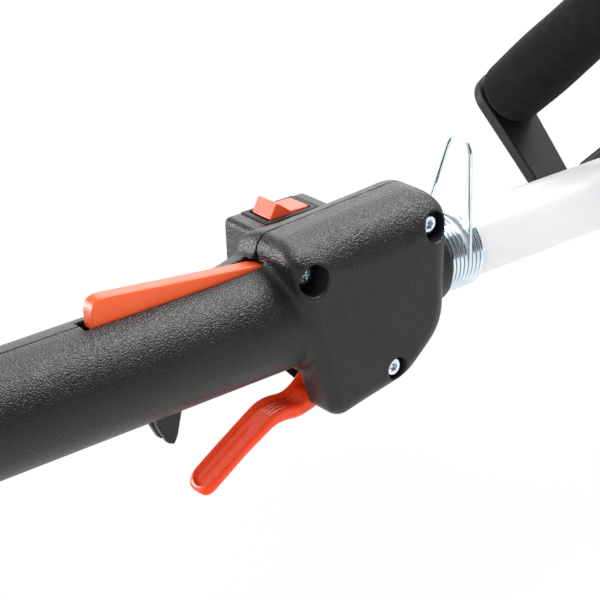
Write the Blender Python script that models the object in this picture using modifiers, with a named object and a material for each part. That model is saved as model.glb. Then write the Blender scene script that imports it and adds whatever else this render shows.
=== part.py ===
"""Straight-shaft petrol string trimmer with a two-shell control handle and a loop handle.

Metres, +Z up. X runs forward along the shaft, Y is to the left. The origin is the centre of
the engine foot's rest face, and the shaft is level at SHAFT_Z above it.
"""
import math

import bmesh
import bpy
from mathutils import Matrix, Vector

# Clearances
CLEAR = 0.0003            # running or assembly gap between neighbouring pieces
SLACK = 0.0010            # wider gap round moving inner pieces

# Shaft
SHAFT_Z = 0.150           # height of the shaft axis over the ground
SHAFT_OD = 0.026
SHAFT_WALL = 0.0015
DRIVE_R = 0.0035
HEAD_X = 1.470            # where the spindle axis crosses the shaft axis
SHAFT_R = SHAFT_OD / 2
SEAT_R = SHAFT_R + CLEAR  # bore of everything that sits on the tube

# Control handle, placed from HANDLE_X on the shaft axis
HANDLE_X = 0.380
GRIP_R = 0.020
GRIP_WALL = 0.0030
GRIP_REAR = -0.215
GRIP_FRONT = -0.070
SHELL_WALL = 0.0025
FLARE_R = 0.0268          # widest radius of the rise from the grip to the housing
NECK_R = 0.0163
NECK_FRONT = -0.0080
RIGHT_HALF = 0.0220       # half widths of the housing on its two sides
LEFT_HALF = 0.0145
SHOULDER_R = 0.0125       # round of the top edges
EDGE_R = 0.0070           # round of the other side edges
# side outline of the housing: x, z and corner radius, counter-clockwise
HOUSING = ((-0.0680, -0.0385, 0.007), (-0.0335, -0.0322, 0.020), (-0.0150, -0.0170, 0.020),
           (-0.0113, 0.0342, 0.011), (-0.0848, 0.0302, 0.006))
TUBE_SEAT = 0.012         # length of the rings that clamp the tube inside the shells

# Trigger and lock-out lever
TRIGGER_PIVOT = (-0.0520, -0.0250)
TRIGGER_HALF = 0.0065
TRIGGER_RIM = 0.0020
TRIGGER_FLOOR = 0.0020
PIN_R = 0.0020
LEVER_PIVOT = (-0.0845, 0.0168)
LEVER_HALF = 0.0029
LEVER_PIN_R = 0.0012
LEVER_SLOT = (-0.1545, -0.0785)

# Stop switch
SWITCH_X = -0.0566
SWITCH_Y = 0.0211
POD_LOW = (-0.0752, 0.0050, -0.0060)
POD_HIGH = (-0.0390, 0.0300, 0.0262)
BEZEL = (0.0234, 0.0150, 0.0016)
ROCKER_HALF = 0.0083
ROCKER_TILT = math.radians(12)

# Hanger spring
WIRE_R = 0.00075
COIL_PITCH = 0.00195
COIL_R = SHAFT_R + WIRE_R + CLEAR
HANGER_REAR = NECK_FRONT + WIRE_R + CLEAR
TURNS_REAR = 4.5
TURNS_FRONT = 2.7
LOOP_PEAK = 0.0465
LOOP_BEND = 0.0060

# Loop handle
LOOP_X = 0.1195
LOOP_TURN = math.radians(-42.1)
LOOP_BAR_Z = 0.0664
FOAM_R = 0.0143
BAR_R = 0.0080
FOAM_HALF = 0.0590
ARM_Y = 0.0595
ARM_T = 0.0058
ARM_BASE_HALF = 0.0088
ARM_END_R = 0.0115
ARM_FLARE = math.radians(3.9)
BASE_Z = 0.0140
CLAMP_HALF = (0.0180, 0.0235)
CLAMP_H = 0.0190
CLAMP_BOLT_Y = 0.0182
CLAMP_BOLT_R = 0.0022

# Engine, placed from the crank axis over the foot
CYL_X = -0.0040
BORE_R = 0.0200
STROKE = 0.0300
ROD_LENGTH = 0.0520
CYL_BASE = 0.0398
CYL_TOP = 0.1120
CHAMBER = (0.0880, 0.0950)   # heights of the bore's end and of the plug's seat over it
FIN_R = 0.0420
FIN_COUNT = 6
FIN_PITCH = 0.0090
DRUM_R = 0.0400
FLYWHEEL_R = 0.0540
FAN_R = 0.0640
CRANK_R = 0.0075
STARTER_R = 0.0500
TANK = (0.115, 0.150)
FOOT_T = 0.0060
CARB_Z = 0.0710
SHROUD_LOW = (-0.0517, -0.0470, 0.0525)
SHROUD_HIGH = (0.0437, 0.0470, 0.1250)

# Gear head, placed from the crossing of the axes, Z up along the spindle
HEAD_TURN = math.radians(-30)
GUARD_R = 0.1300
GUARD_T = 0.0030
GUARD_TOP = -0.0355
BRACKET_INSET = 0.0280    # how far the bracket ends inside the guard's rim
HEAD_R = 0.0540
HEAD_TOP = -0.0415
SPINDLE_R = 0.0050

STEPS = 24

for old in list(bpy.data.objects):
    bpy.data.objects.remove(old, do_unlink=True)
PARTS = bpy.data.collections.new("gas_string_trimmer")
CUTTERS = bpy.data.collections.new("cutters")
bpy.context.scene.collection.children.link(PARTS)
bpy.context.scene.collection.children.link(CUTTERS)


def material(name, colour, roughness, metallic=0.0):
    mat = bpy.data.materials.new(name)
    mat.use_nodes = True
    shader = mat.node_tree.nodes["Principled BSDF"]
    shader.inputs["Base Color"].default_value = (*colour, 1.0)
    shader.inputs["Roughness"].default_value = roughness
    shader.inputs["Metallic"].default_value = metallic
    mat.diffuse_color = (*colour, 1.0)
    return mat


CHARCOAL = material("charcoal_plastic", (0.035, 0.035, 0.038), 0.5)
BLACK = material("black_plastic", (0.015, 0.015, 0.016), 0.45)
ORANGE = material("orange_plastic", (0.90, 0.09, 0.02), 0.35)
RED = material("red_plastic", (0.75, 0.03, 0.02), 0.3)
FOAM = material("black_foam", (0.010, 0.010, 0.011), 0.95)
WHITE = material("white_paint", (0.85, 0.85, 0.85), 0.25)
ZINC = material("zinc_steel", (0.62, 0.65, 0.68), 0.25, 1.0)
STEEL = material("steel", (0.45, 0.45, 0.46), 0.35, 1.0)
CAST = material("cast_aluminium", (0.55, 0.56, 0.58), 0.5, 1.0)
TANK_MAT = material("tank_plastic", (0.62, 0.62, 0.58), 0.4)
RUBBER = material("rubber", (0.02, 0.02, 0.02), 0.7)
CERAMIC = material("ceramic", (0.80, 0.80, 0.78), 0.2)


def frame(name, at, turn=(0.0, 0.0, 0.0)):
    """An empty that carries one group of pieces."""
    empty = bpy.data.objects.new(name, None)
    PARTS.objects.link(empty)
    empty.location = at
    empty.rotation_euler = turn
    return empty


BODY = frame("shaft_frame", (0, 0, SHAFT_Z))
HANDLE = frame("handle_frame", (HANDLE_X, 0, SHAFT_Z))
LOOP = frame("loop_frame_axis", (HANDLE_X + LOOP_X, 0, SHAFT_Z), (LOOP_TURN, 0, 0))
NECK = frame("gear_neck_frame", (HEAD_X, 0, SHAFT_Z))
HEAD = frame("gear_head_frame", (HEAD_X, 0, SHAFT_Z), (0, HEAD_TURN, 0))

TURN = {"X": (0, math.pi / 2, 0), "Y": (-math.pi / 2, 0, 0), "Z": (0, 0, 0)}


def add(name, data, mat, parent, at=(0, 0, 0), turn=(0, 0, 0)):
    """Link an object under its frame; without a material it is a tool for a Boolean."""
    obj = bpy.data.objects.new(name, data)
    (PARTS if mat else CUTTERS).objects.link(obj)
    obj.parent = parent
    obj.location = at
    obj.rotation_euler = turn
    if mat:
        data.materials.append(mat)
    else:
        obj.hide_render = True
        obj.display_type = "WIRE"
    return obj


def smooth(obj, angle=35):
    obj.data.shade_smooth()
    obj.data.set_sharp_from_angle(angle=math.radians(angle))
    return obj


def mesh_from(bm, name):
    mesh = bpy.data.meshes.new(name)
    bm.to_mesh(mesh)
    bm.free()
    return mesh


def box(name, mat, parent, low, high, bevel=0.0, turn=(0, 0, 0), pivot=(0, 0, 0), segments=2):
    """A box from its low and high corners; turn is about pivot, which is the object's origin."""
    bm = bmesh.new()
    bmesh.ops.create_cube(bm, size=1.0)
    size = [b - a for a, b in zip(low, high)]
    middle = [(a + b) / 2 - p for a, b, p in zip(low, high, pivot)]
    bmesh.ops.scale(bm, vec=size, verts=bm.verts)
    bmesh.ops.translate(bm, vec=middle, verts=bm.verts)
    obj = add(name, mesh_from(bm, name), mat, parent, pivot, turn)
    if bevel:
        mod = obj.modifiers.new("edges", "BEVEL")
        mod.width = bevel
        mod.segments = segments
        mod.limit_method = "ANGLE"
        smooth(obj)
    return obj


def rod(name, mat, parent, axis, radius, start, end, across=(0, 0), radius_end=None, steps=STEPS):
    """A round rod along axis from start to end, its centre line at across on the other two."""
    bm = bmesh.new()
    bmesh.ops.create_cone(bm, cap_ends=True, segments=steps, radius1=radius,
                          radius2=radius if radius_end is None else radius_end, depth=end - start)
    middle = (start + end) / 2
    at = {"X": (middle, across[0], across[1]), "Y": (across[0], middle, across[1]),
          "Z": (across[0], across[1], middle)}[axis]
    return smooth(add(name, mesh_from(bm, name), mat, parent, at, TURN[axis]))


def turned(name, mat, parent, axis, profile, at=(0, 0, 0), steps=STEPS, closed=False):
    """Turn a profile of (radius, along) about axis. It runs down its outer side."""
    mesh = bpy.data.meshes.new(name)
    points = [(radius, 0, along) for radius, along in profile]
    edges = [(i, i + 1) for i in range(len(points) - 1)]
    if closed:
        edges.append((len(points) - 1, 0))
    mesh.from_pydata(points, edges, [])
    obj = add(name, mesh, mat, parent, at, TURN[axis])
    mod = obj.modifiers.new("turn", "SCREW")
    mod.steps = mod.render_steps = steps
    mod.use_merge_vertices = True
    mod.merge_threshold = 0.00001
    mod.use_smooth_shade = mat is not None
    return obj


def ring(name, mat, parent, axis, outer, inner, start, end, at=(0, 0, 0), steps=STEPS):
    profile = [(outer, end), (outer, start), (inner, start), (inner, end)]
    return turned(name, mat, parent, axis, profile, at, steps, closed=True)


def rounded(corners, per_corner, insets=None):
    """Points of a convex outline with rounded corners; insets moves each side inwards."""
    count = len(corners)
    sides = []
    for i, (x, z, _) in enumerate(corners):
        nx, nz, _ = corners[(i + 1) % count]
        along = Vector((nx - x, nz - z)).normalized()
        inward = Vector((-along.y, along.x))
        sides.append((Vector((x, z)) + inward * (insets[i] if insets else 0.0), along))
    points = []
    for i in range(count):
        (p, d), (q, e) = sides[i - 1], sides[i]
        cross = d.x * e.y - d.y * e.x
        corner = p + d * (((q - p).x * e.y - (q - p).y * e.x) / cross)
        half = math.acos(max(-1.0, min(1.0, d.dot(e)))) / 2
        shrink = (insets[i - 1] + insets[i]) / 2 if insets else 0.0
        radius = max(corners[i][2] - shrink, 0.0006)
        centre = corner + (e - d).normalized() * (radius / math.cos(half))
        first = corner - d * radius * math.tan(half) - centre
        for k in range(per_corner + 1):
            swing = 2 * half * k / per_corner
            points.append(centre + Matrix.Rotation(swing, 2) @ first)
    return points


def spline(curve, points, closed):
    line = curve.splines.new("POLY")
    line.points.add(len(points) - 1)
    for slot, point in zip(line.points, points):
        slot.co = (*point, 1.0) if len(point) == 3 else (point[0], point[1], 0.0, 1.0)
    line.use_cyclic_u = closed


def baked(obj):
    """Make a curve object a mesh, so that it can be cut and joined."""
    bpy.context.view_layer.update()
    graph = bpy.context.evaluated_depsgraph_get()
    mesh = bpy.data.meshes.new_from_object(obj.evaluated_get(graph))
    bm = bmesh.new()
    bm.from_mesh(mesh)
    bmesh.ops.remove_doubles(bm, verts=bm.verts, dist=0.00002)
    bmesh.ops.recalc_face_normals(bm, faces=bm.faces)
    bm.to_mesh(mesh)
    bm.free()
    made = bpy.data.objects.new(obj.name, mesh)
    obj.users_collection[0].objects.link(made)
    made.parent = obj.parent
    made.location = obj.location
    made.rotation_euler = obj.rotation_euler
    made.hide_render = obj.hide_render
    made.display_type = obj.display_type
    name = obj.name
    bpy.data.objects.remove(obj, do_unlink=True)
    made.name = name
    return made


FLAT = {"XZ": (math.pi / 2, 0, 0), "XY": (0, 0, 0), "YZ": (math.pi / 2, 0, math.pi / 2)}


def plate(name, mat, parent, plane, outlines, low, high, origin=(0, 0), bevel=0.0):
    """A flat piece with the given outline and holes, from low to high across its plane."""
    curve = bpy.data.curves.new(name, "CURVE")
    curve.dimensions = "2D"
    curve.fill_mode = "BOTH"
    curve.extrude = (high - low) / 2
    for outline in outlines:
        spline(curve, [(u - origin[0], v - origin[1]) for u, v in outline], True)
    middle = (low + high) / 2
    at = {"XZ": (origin[0], middle, origin[1]), "XY": (origin[0], origin[1], middle),
          "YZ": (middle, origin[0], origin[1])}[plane]
    obj = baked(add(name, curve, mat, parent, at, FLAT[plane]))
    if bevel:
        mod = obj.modifiers.new("edges", "BEVEL")
        mod.width = bevel
        mod.segments = 2
        mod.limit_method = "ANGLE"
        mod.angle_limit = math.radians(50)
    return smooth(obj)


def combine(obj, tool, operation):
    mod = obj.modifiers.new(tool.name, "BOOLEAN")
    mod.operation = operation
    mod.solver = "EXACT"
    mod.object = tool
    return obj


def join(obj, *tools):
    for tool in tools:
        combine(obj, tool, "UNION")
    return obj


def cut(obj, *tools):
    for tool in tools:
        combine(obj, tool, "DIFFERENCE")
    return obj


def housing_block(name, half, low, wall, side):
    """The housing on one side of the parting plane, from low out to half, set in by wall."""
    shoulder = SHOULDER_R - wall
    edge = EDGE_R - wall
    reach = half - wall
    steps = sorted({low, *(reach - shoulder + shoulder * math.sin(math.radians(a))
                           for a in (25, 50, 70)),
                    *(reach - edge + edge * math.sin(math.radians(a)) for a in (0, 35, 65, 90))})
    bm = bmesh.new()
    rings = []
    for y in [s for s in steps if s >= low]:
        def inset(radius):
            over = min(max(0.0, y - (reach - radius)), radius)
            return radius - math.sqrt(radius ** 2 - over ** 2) + wall
        top, rest = inset(shoulder), inset(edge)
        outline = rounded(HOUSING, 5, (rest, rest, rest, top, rest))
        rings.append([bm.verts.new((p.x, side * y, p.y)) for p in outline])
    for inner, outer in zip(rings, rings[1:]):
        for i in range(len(inner)):
            j = (i + 1) % len(inner)
            bm.faces.new((inner[i], inner[j], outer[j], outer[i]))
    bm.faces.new(rings[0])
    bm.faces.new(rings[-1])
    bmesh.ops.recalc_face_normals(bm, faces=bm.faces)
    return mesh_from(bm, name)


# Screws that close the shells: x, z, counterbore radius and the depth of its floor from the plane
SHELL_SCREWS = {"upper": (-0.0204, 0.0216, 0.0053, 0.0146),
                "rear": (-0.0750, 0.0180, 0.0055, 0.0126),
                "lower": (-0.0400, -0.0262, 0.0042, 0.0170)}
SCREW_R = 0.0016
SCREW_HEAD_R = 0.0035
SCREW_HEAD_H = 0.0022


def handle_shell(name, side, half):
    """One half of the control handle. side is -1 for the right half and 1 for the left."""
    tag = name + "_"
    shell = add(name, housing_block(name, half, 0.0, 0.0, side), CHARCOAL, HANDLE)
    smooth(shell)
    grip = turned(tag + "grip", None, HANDLE, "X", [
        (0, GRIP_FRONT), (GRIP_R, GRIP_FRONT), (GRIP_R, GRIP_REAR + 0.004),
        (GRIP_R - 0.001, GRIP_REAR + 0.001), (GRIP_R - 0.003, GRIP_REAR), (0, GRIP_REAR)], steps=32)
    neck = turned(tag + "neck", None, HANDLE, "X", [
        (0, NECK_FRONT), (NECK_R - 0.0008, NECK_FRONT), (NECK_R, NECK_FRONT - 0.0008),
        (NECK_R, -0.0200), (0, -0.0200)], steps=32)
    join(shell, grip, neck)
    fillet = turned(tag + "fillet", None, HANDLE, "X", [
        (0, -0.0765), (FLARE_R, -0.0765), (0.0236, -0.0838), (0.0219, -0.0905),
        (0.0208, -0.0980), (GRIP_R - 0.0010, -0.1080), (0, -0.1080)], steps=32)
    cut(fillet, box(tag + "fillet_end", None, HANDLE, (-0.12, -0.04, -0.05),
                    (-0.06, 0.04, -0.0140)))
    if side < 0:
        fillet.scale[1] = RIGHT_HALF / FLARE_R
    join(shell, fillet)
    if side > 0:
        join(shell, box(tag + "pod", None, HANDLE, POD_LOW, POD_HIGH, bevel=0.0022))
    hollow = add(tag + "hollow", housing_block(tag + "hollow", half, -0.002, SHELL_WALL, side),
                 None, HANDLE)
    bosses = [(SHELL_SCREWS[label][:2], label, 0.0066 if side < 0 else 0.0048, 0.0010)
              for label in SHELL_SCREWS] + [(TRIGGER_PIVOT, "trigger", 0.0045, 0.0085)]
    for centre, label, radius, inner in bosses:
        cut(hollow, rod(tag + "boss_" + label, None, HANDLE, "Y", radius,
                        *sorted((side * inner, side * 0.0400)), centre, steps=20))
    cut(shell, hollow, rod(tag + "grip_bore", None, HANDLE, "X", GRIP_R - GRIP_WALL,
                           GRIP_REAR + TUBE_SEAT, -0.1000))
    nib = plate(tag + "nib", None, HANDLE, "XZ", [[
        (-0.1312, -0.0175), (-0.1296, -0.0250), (-0.1262, -0.0316), (-0.1238, -0.0327),
        (-0.1222, -0.0300), (-0.1188, -0.0175)]], *sorted((side * 0.0006, side * 0.0035)))
    join(shell, nib)
    cut(shell, rod(tag + "seat", None, HANDLE, "X", SEAT_R, GRIP_REAR - 0.01, NECK_FRONT + 0.01))
    cut(shell, box(tag + "lever_slot", None, HANDLE, (LEVER_SLOT[0], -LEVER_HALF - 0.0006, 0.0),
                   (LEVER_SLOT[1], LEVER_HALF + 0.0006, 0.0240)))
    gap = TRIGGER_HALF + 0.0007
    cut(shell, box(tag + "trigger_slot", None, HANDLE, (-0.0825, -gap, -0.0450),
                   (-0.0560, gap, -0.0220)))
    cut(shell, rod(tag + "trigger_bore", None, HANDLE, "Y", PIN_R + CLEAR,
                   *sorted((side * 0.005, side * (half - SHELL_WALL))), TRIGGER_PIVOT, steps=12))
    cut(shell, rod(tag + "lever_bore", None, HANDLE, "Y", LEVER_PIN_R + CLEAR,
                   *sorted((side * 0.002, side * 0.0092)), LEVER_PIVOT, steps=12))
    for label, (x, z, bore_r, depth) in SHELL_SCREWS.items():
        hole = rod(tag + "hole_" + label, None, HANDLE, "Y", SCREW_R + CLEAR,
                   *((-depth - 0.002, 0.002) if side < 0 else (-0.002, 0.0100)), (x, z), steps=12)
        cut(shell, hole)
        if side < 0:
            cut(shell, rod(tag + "counterbore_" + label, None, HANDLE, "Y", bore_r,
                           -half - 0.01, -depth, (x, z), steps=20))
    if side > 0:
        for label, rim, floor in (("window", -0.0014, 0.0080),
                                  ("recess", CLEAR, POD_HIGH[2] - BEZEL[2])):
            reach_x, reach_y = BEZEL[0] / 2 + rim, BEZEL[1] / 2 + rim
            cut(shell, box(tag + "switch_" + label, None, HANDLE,
                           (SWITCH_X - reach_x, SWITCH_Y - reach_y, floor),
                           (SWITCH_X + reach_x, SWITCH_Y + reach_y, 0.0400)))
    keep = CLEAR / 2
    low, high = sorted((side * keep, -side * 0.05))
    cut(shell, box(tag + "parting", None, HANDLE, (-0.25, low, -0.06), (0.02, high, 0.06)))
    return shell


def shell_screw(label):
    x, z, _, depth = SHELL_SCREWS[label]
    head = -depth - CLEAR
    screw = turned("shell_screw_" + label, ZINC, HANDLE, "Y", [
        (0, 0.0085), (SCREW_R, 0.0085), (SCREW_R, head), (SCREW_HEAD_R, head),
        (SCREW_HEAD_R, head - 0.0012), (SCREW_HEAD_R - 0.0012, head - SCREW_HEAD_H),
        (0, head - SCREW_HEAD_H)], at=(x, 0, z), steps=16)
    star = plate("star_" + label, None, HANDLE, "XZ", [[
        (x + r * math.cos(a), z + r * math.sin(a)) for r, a in
        ((0.0016 if k % 2 else 0.0011, math.pi * k / 6) for k in range(12))]],
        head - SCREW_HEAD_H - 0.001, head - SCREW_HEAD_H + 0.0012)
    return cut(screw, star)


def trigger():
    px, pz = TRIGGER_PIVOT
    profile = [(-0.0600, -0.0255), (-0.0660, -0.0320), (-0.0710, -0.0346), (-0.0785, -0.0336),
               (-0.0835, -0.0346), (-0.0910, -0.0390), (-0.1010, -0.0450), (-0.1110, -0.0512),
               (-0.1148, -0.0545), (-0.1134, -0.0574), (-0.0956, -0.0462), (-0.0830, -0.0396),
               (-0.0787, -0.0393), (-0.0722, -0.0402), (-0.0640, -0.0385), (-0.0560, -0.0310)]
    body = plate("throttle_trigger", ORANGE, HANDLE, "XZ", [profile], -TRIGGER_HALF, TRIGGER_HALF,
                 origin=TRIGGER_PIVOT)
    tip = -0.1152 + TRIGGER_HALF
    arc = [math.radians(90 + 180 * k / 10) for k in range(11)]
    plan = [(tip + TRIGGER_HALF * math.cos(a), TRIGGER_HALF * math.sin(a)) for a in arc]
    plan += [(-0.04, -TRIGGER_HALF), (-0.04, TRIGGER_HALF)]
    combine(body, plate("trigger_plan", None, HANDLE, "XY", [plan], -0.08, 0.0), "INTERSECT")
    hub = rod("trigger_hub", None, HANDLE, "Y", 0.0052, -TRIGGER_HALF + 0.0005,
              TRIGGER_HALF - 0.0005, TRIGGER_PIVOT, steps=20)
    web = box("trigger_web", None, HANDLE, (px - 0.012, -0.0040, pz - 0.0070),
              (px, 0.0040, pz - 0.0010), turn=(0, math.radians(-16), 0), pivot=(px, 0, pz))
    channel = plate("trigger_channel", None, HANDLE, "XZ",
                    [[(x, z - TRIGGER_FLOOR) for x, z in profile[2:8]]
                     + [(-0.1110, -0.0300), (-0.0710, -0.0300)]],
                    -TRIGGER_HALF + TRIGGER_RIM, TRIGGER_HALF - TRIGGER_RIM)
    join(body, hub, web)
    cut(body, channel)
    cut(body, rod("trigger_eye", None, HANDLE, "Y", PIN_R + CLEAR, -0.01, 0.01, TRIGGER_PIVOT,
                  steps=12))
    return body


def lever():
    profile = [(-0.1512, 0.0182), (-0.0802, 0.0178), (-0.0796, 0.0192), (-0.0840, 0.0210),
               (-0.1070, 0.0236), (-0.1468, 0.0284), (-0.1498, 0.0272), (-0.1511, 0.0250)]
    body = plate("lockout_lever", ORANGE, HANDLE, "XZ", [profile], -LEVER_HALF, LEVER_HALF,
                 origin=LEVER_PIVOT, bevel=0.0007)
    hub = rod("lever_hub", None, HANDLE, "Y", 0.0027, -LEVER_HALF + 0.0003, LEVER_HALF - 0.0003,
              LEVER_PIVOT, steps=16)
    eye = rod("lever_eye", None, HANDLE, "Y", LEVER_PIN_R + CLEAR, -0.01, 0.01, LEVER_PIVOT,
              steps=12)
    return cut(join(body, hub), eye)


def switch():
    x, y, top = SWITCH_X, SWITCH_Y, POD_HIGH[2]
    hx, hy, lip = BEZEL[0] / 2, BEZEL[1] / 2, BEZEL[2]
    body = box("switch_body", BLACK, HANDLE, (x - hx, y - hy, top - lip + CLEAR),
               (x + hx, y + hy, top + CLEAR), bevel=0.0003)
    case = box("switch_case", None, HANDLE, (x - hx + 0.0020, y - hy + 0.0019, top - 0.0140),
               (x + hx - 0.0020, y + hy - 0.0019, top - lip / 2))
    well = box("switch_well", None, HANDLE, (x - ROCKER_HALF - SLACK, y - 0.0057, top - 0.0070),
               (x + ROCKER_HALF + SLACK, y + 0.0057, top + 0.01))
    cut(join(body, case), well)
    reach = ROCKER_HALF
    shape = [(-reach + 0.0019, 0.0050), (-reach + 0.0030, 0.0050), (0.0004, 0.0022),
             (reach, 0.0036), (reach - 0.0004, -0.0010), (0.0040, -0.0034), (-0.0040, -0.0034),
             (-reach, -0.0006)]
    cos, sin = math.cos(ROCKER_TILT), math.sin(ROCKER_TILT)
    shape = [(x + u * cos + w * sin, top - 0.0010 - u * sin + w * cos) for u, w in shape]
    plate("switch_rocker", RED, HANDLE, "XZ", [shape], y - 0.0053, y + 0.0053,
          origin=(x, top - 0.0010), bevel=0.0004)


def hanger_route():
    """Points of the wire: a rear coil, one turn drawn up into a hanging loop, a front coil."""
    points = []

    def coil(x, start, turns):
        count = round(turns * 18)
        for k in range(count + 1):
            part = turns * k / count
            angle = start - 2 * math.pi * part
            points.append((x + COIL_PITCH * part, COIL_R * math.cos(angle),
                           COIL_R * math.sin(angle)))

    coil(HANGER_REAR, math.pi * (1 + 2 * TURNS_REAR), TURNS_REAR)
    x = points[-1][0]
    meet = math.radians(20)
    advance = COIL_PITCH * (math.pi - meet) / (2 * math.pi)
    centre = (-COIL_R + LOOP_BEND, LOOP_PEAK - LOOP_BEND)
    climb = [(-COIL_R, centre[1] * k / 4) for k in range(1, 4)]
    for k in range(7):
        angle = math.radians(180 - 156 * k / 6)
        climb.append((centre[0] + LOOP_BEND * math.cos(angle),
                      centre[1] + LOOP_BEND * math.sin(angle)))
    last = climb[-1]
    end = (COIL_R * math.cos(meet), COIL_R * math.sin(meet))
    climb += [tuple(a + (b - a) * k / 4 for a, b in zip(last, end)) for k in range(1, 4)]
    for k, (y, z) in enumerate(climb):
        points.append((x + advance * (k + 1) / (len(climb) + 1), y, z))
    coil(x + advance, meet, TURNS_FRONT)
    return points


def tube(name, mat, parent, points, radius, resolution=1):
    curve = bpy.data.curves.new(name, "CURVE")
    curve.dimensions = "3D"
    curve.bevel_depth = radius
    curve.bevel_resolution = resolution
    curve.use_fill_caps = True
    spline(curve, points, False)
    return add(name, curve, mat, parent)


def least_gap(points, radius):
    """Smallest clear distance between stretches of the wire that are not neighbours."""
    near = 1.0
    apart = 9
    for i, a in enumerate(points):
        for b in points[i + apart:]:
            near = min(near, (Vector(a) - Vector(b)).length)
    return near - 2 * radius


def shaft():
    start = 0.1208
    ring("shaft_tube", WHITE, BODY, "X", SHAFT_R, SHAFT_R - SHAFT_WALL, start, HEAD_X - 0.0300,
         steps=32)
    rod("drive_shaft", STEEL, BODY, "X", DRIVE_R, 0.1104, HEAD_X - 0.0120, steps=12)
    middle = (start + HEAD_X) / 2
    ring("shaft_bush", BLACK, BODY, "X", SHAFT_R - SHAFT_WALL - CLEAR, DRIVE_R + CLEAR,
         middle - 0.0150, middle + 0.0150, steps=20)


def control_handle():
    handle_shell("handle_shell_right", -1, RIGHT_HALF)
    handle_shell("handle_shell_left", 1, LEFT_HALF)
    for label in SHELL_SCREWS:
        shell_screw(label)
    trigger()
    rod("trigger_pin", ZINC, HANDLE, "Y", PIN_R, -RIGHT_HALF + SHELL_WALL + CLEAR,
        LEFT_HALF - SHELL_WALL - CLEAR, TRIGGER_PIVOT, steps=12)
    lever()
    rod("lever_pin", ZINC, HANDLE, "Y", LEVER_PIN_R, -0.0088, 0.0088, LEVER_PIVOT, steps=12)
    switch()
    route = hanger_route()
    tube("hanger_spring", ZINC, HANDLE, route, WIRE_R)
    print("hanger_spring least gap to itself, mm:", round(least_gap(route, WIRE_R) * 1000, 2))


def loop_handle():
    arm_z, bar_z = BASE_Z, LOOP_BAR_Z
    arc = [math.radians(-5 + 190 * k / 12) for k in range(13)]
    outline = [(ARM_END_R * math.cos(a), bar_z + 0.0020 + ARM_END_R * math.sin(a)) for a in arc]
    outline += [(-ARM_BASE_HALF, arm_z - 0.0002), (ARM_BASE_HALF, arm_z - 0.0002)]
    loop = box("loop_frame", BLACK, LOOP, (-ARM_BASE_HALF, -ARM_Y - 0.0030, BASE_Z),
               (ARM_BASE_HALF, ARM_Y + 0.0030, BASE_Z + ARM_T), bevel=0.0012)
    for side, label in ((1, "left"), (-1, "right")):
        arm = plate("loop_arm_" + label, None, LOOP, "XZ",
                    [[(u, v - arm_z) for u, v in outline]], -ARM_T / 2, ARM_T / 2)
        arm.location = (0, side * ARM_Y, arm_z)
        arm.rotation_euler = (math.pi / 2 - side * ARM_FLARE, 0, 0)
        join(loop, arm)
    bar_end = ARM_Y + 0.0030
    join(loop, rod("loop_core", None, LOOP, "Y", BAR_R, -bar_end, bar_end, (0, bar_z)))
    hx, hy = CLAMP_HALF
    join(loop, box("loop_saddle", None, LOOP, (-hx, -hy, SLACK), (hx, hy, BASE_Z + ARM_T - 0.0005),
                   bevel=0.0015))
    bore = rod("loop_bore", None, LOOP, "X", SEAT_R, -0.05, 0.05, steps=32)
    cut(loop, bore)
    cap = box("loop_clamp", BLACK, LOOP, (-hx, -hy, -CLAMP_H), (hx, hy, -SLACK), bevel=0.0015)
    cut(cap, rod("clamp_bore", None, LOOP, "X", SEAT_R, -0.05, 0.05, steps=32))
    for side, label in ((1, "left"), (-1, "right")):
        y = side * CLAMP_BOLT_Y
        cut(loop, rod("saddle_hole_" + label, None, LOOP, "Z", CLAMP_BOLT_R + CLEAR,
                      -0.002, 0.0110, (0, y), steps=12))
        cut(cap, rod("clamp_hole_" + label, None, LOOP, "Z", CLAMP_BOLT_R + CLEAR,
                     -0.03, 0.0, (0, y), steps=12))
        bolt = turned("clamp_bolt_" + label, ZINC, LOOP, "Z", [
            (0, 0.0105), (CLAMP_BOLT_R, 0.0105), (CLAMP_BOLT_R, -CLAMP_H - CLEAR),
            (0.0042, -CLAMP_H - CLEAR), (0.0042, -CLAMP_H - 0.0042), (0, -CLAMP_H - 0.0042)],
            at=(0, y, 0), steps=12)
        cut(bolt, rod("bolt_socket_" + label, None, LOOP, "Z", 0.0020, -CLAMP_H - 0.006,
                      -CLAMP_H - 0.0020, (0, y), steps=6))
    turned("foam_grip", FOAM, LOOP, "Y", [
        (FOAM_R - 0.0015, FOAM_HALF), (FOAM_R, FOAM_HALF - 0.0015), (FOAM_R, -FOAM_HALF + 0.0015),
        (FOAM_R - 0.0015, -FOAM_HALF), (BAR_R + CLEAR, -FOAM_HALF), (BAR_R + CLEAR, FOAM_HALF)],
        at=(0, 0, bar_z), closed=True)


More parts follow.
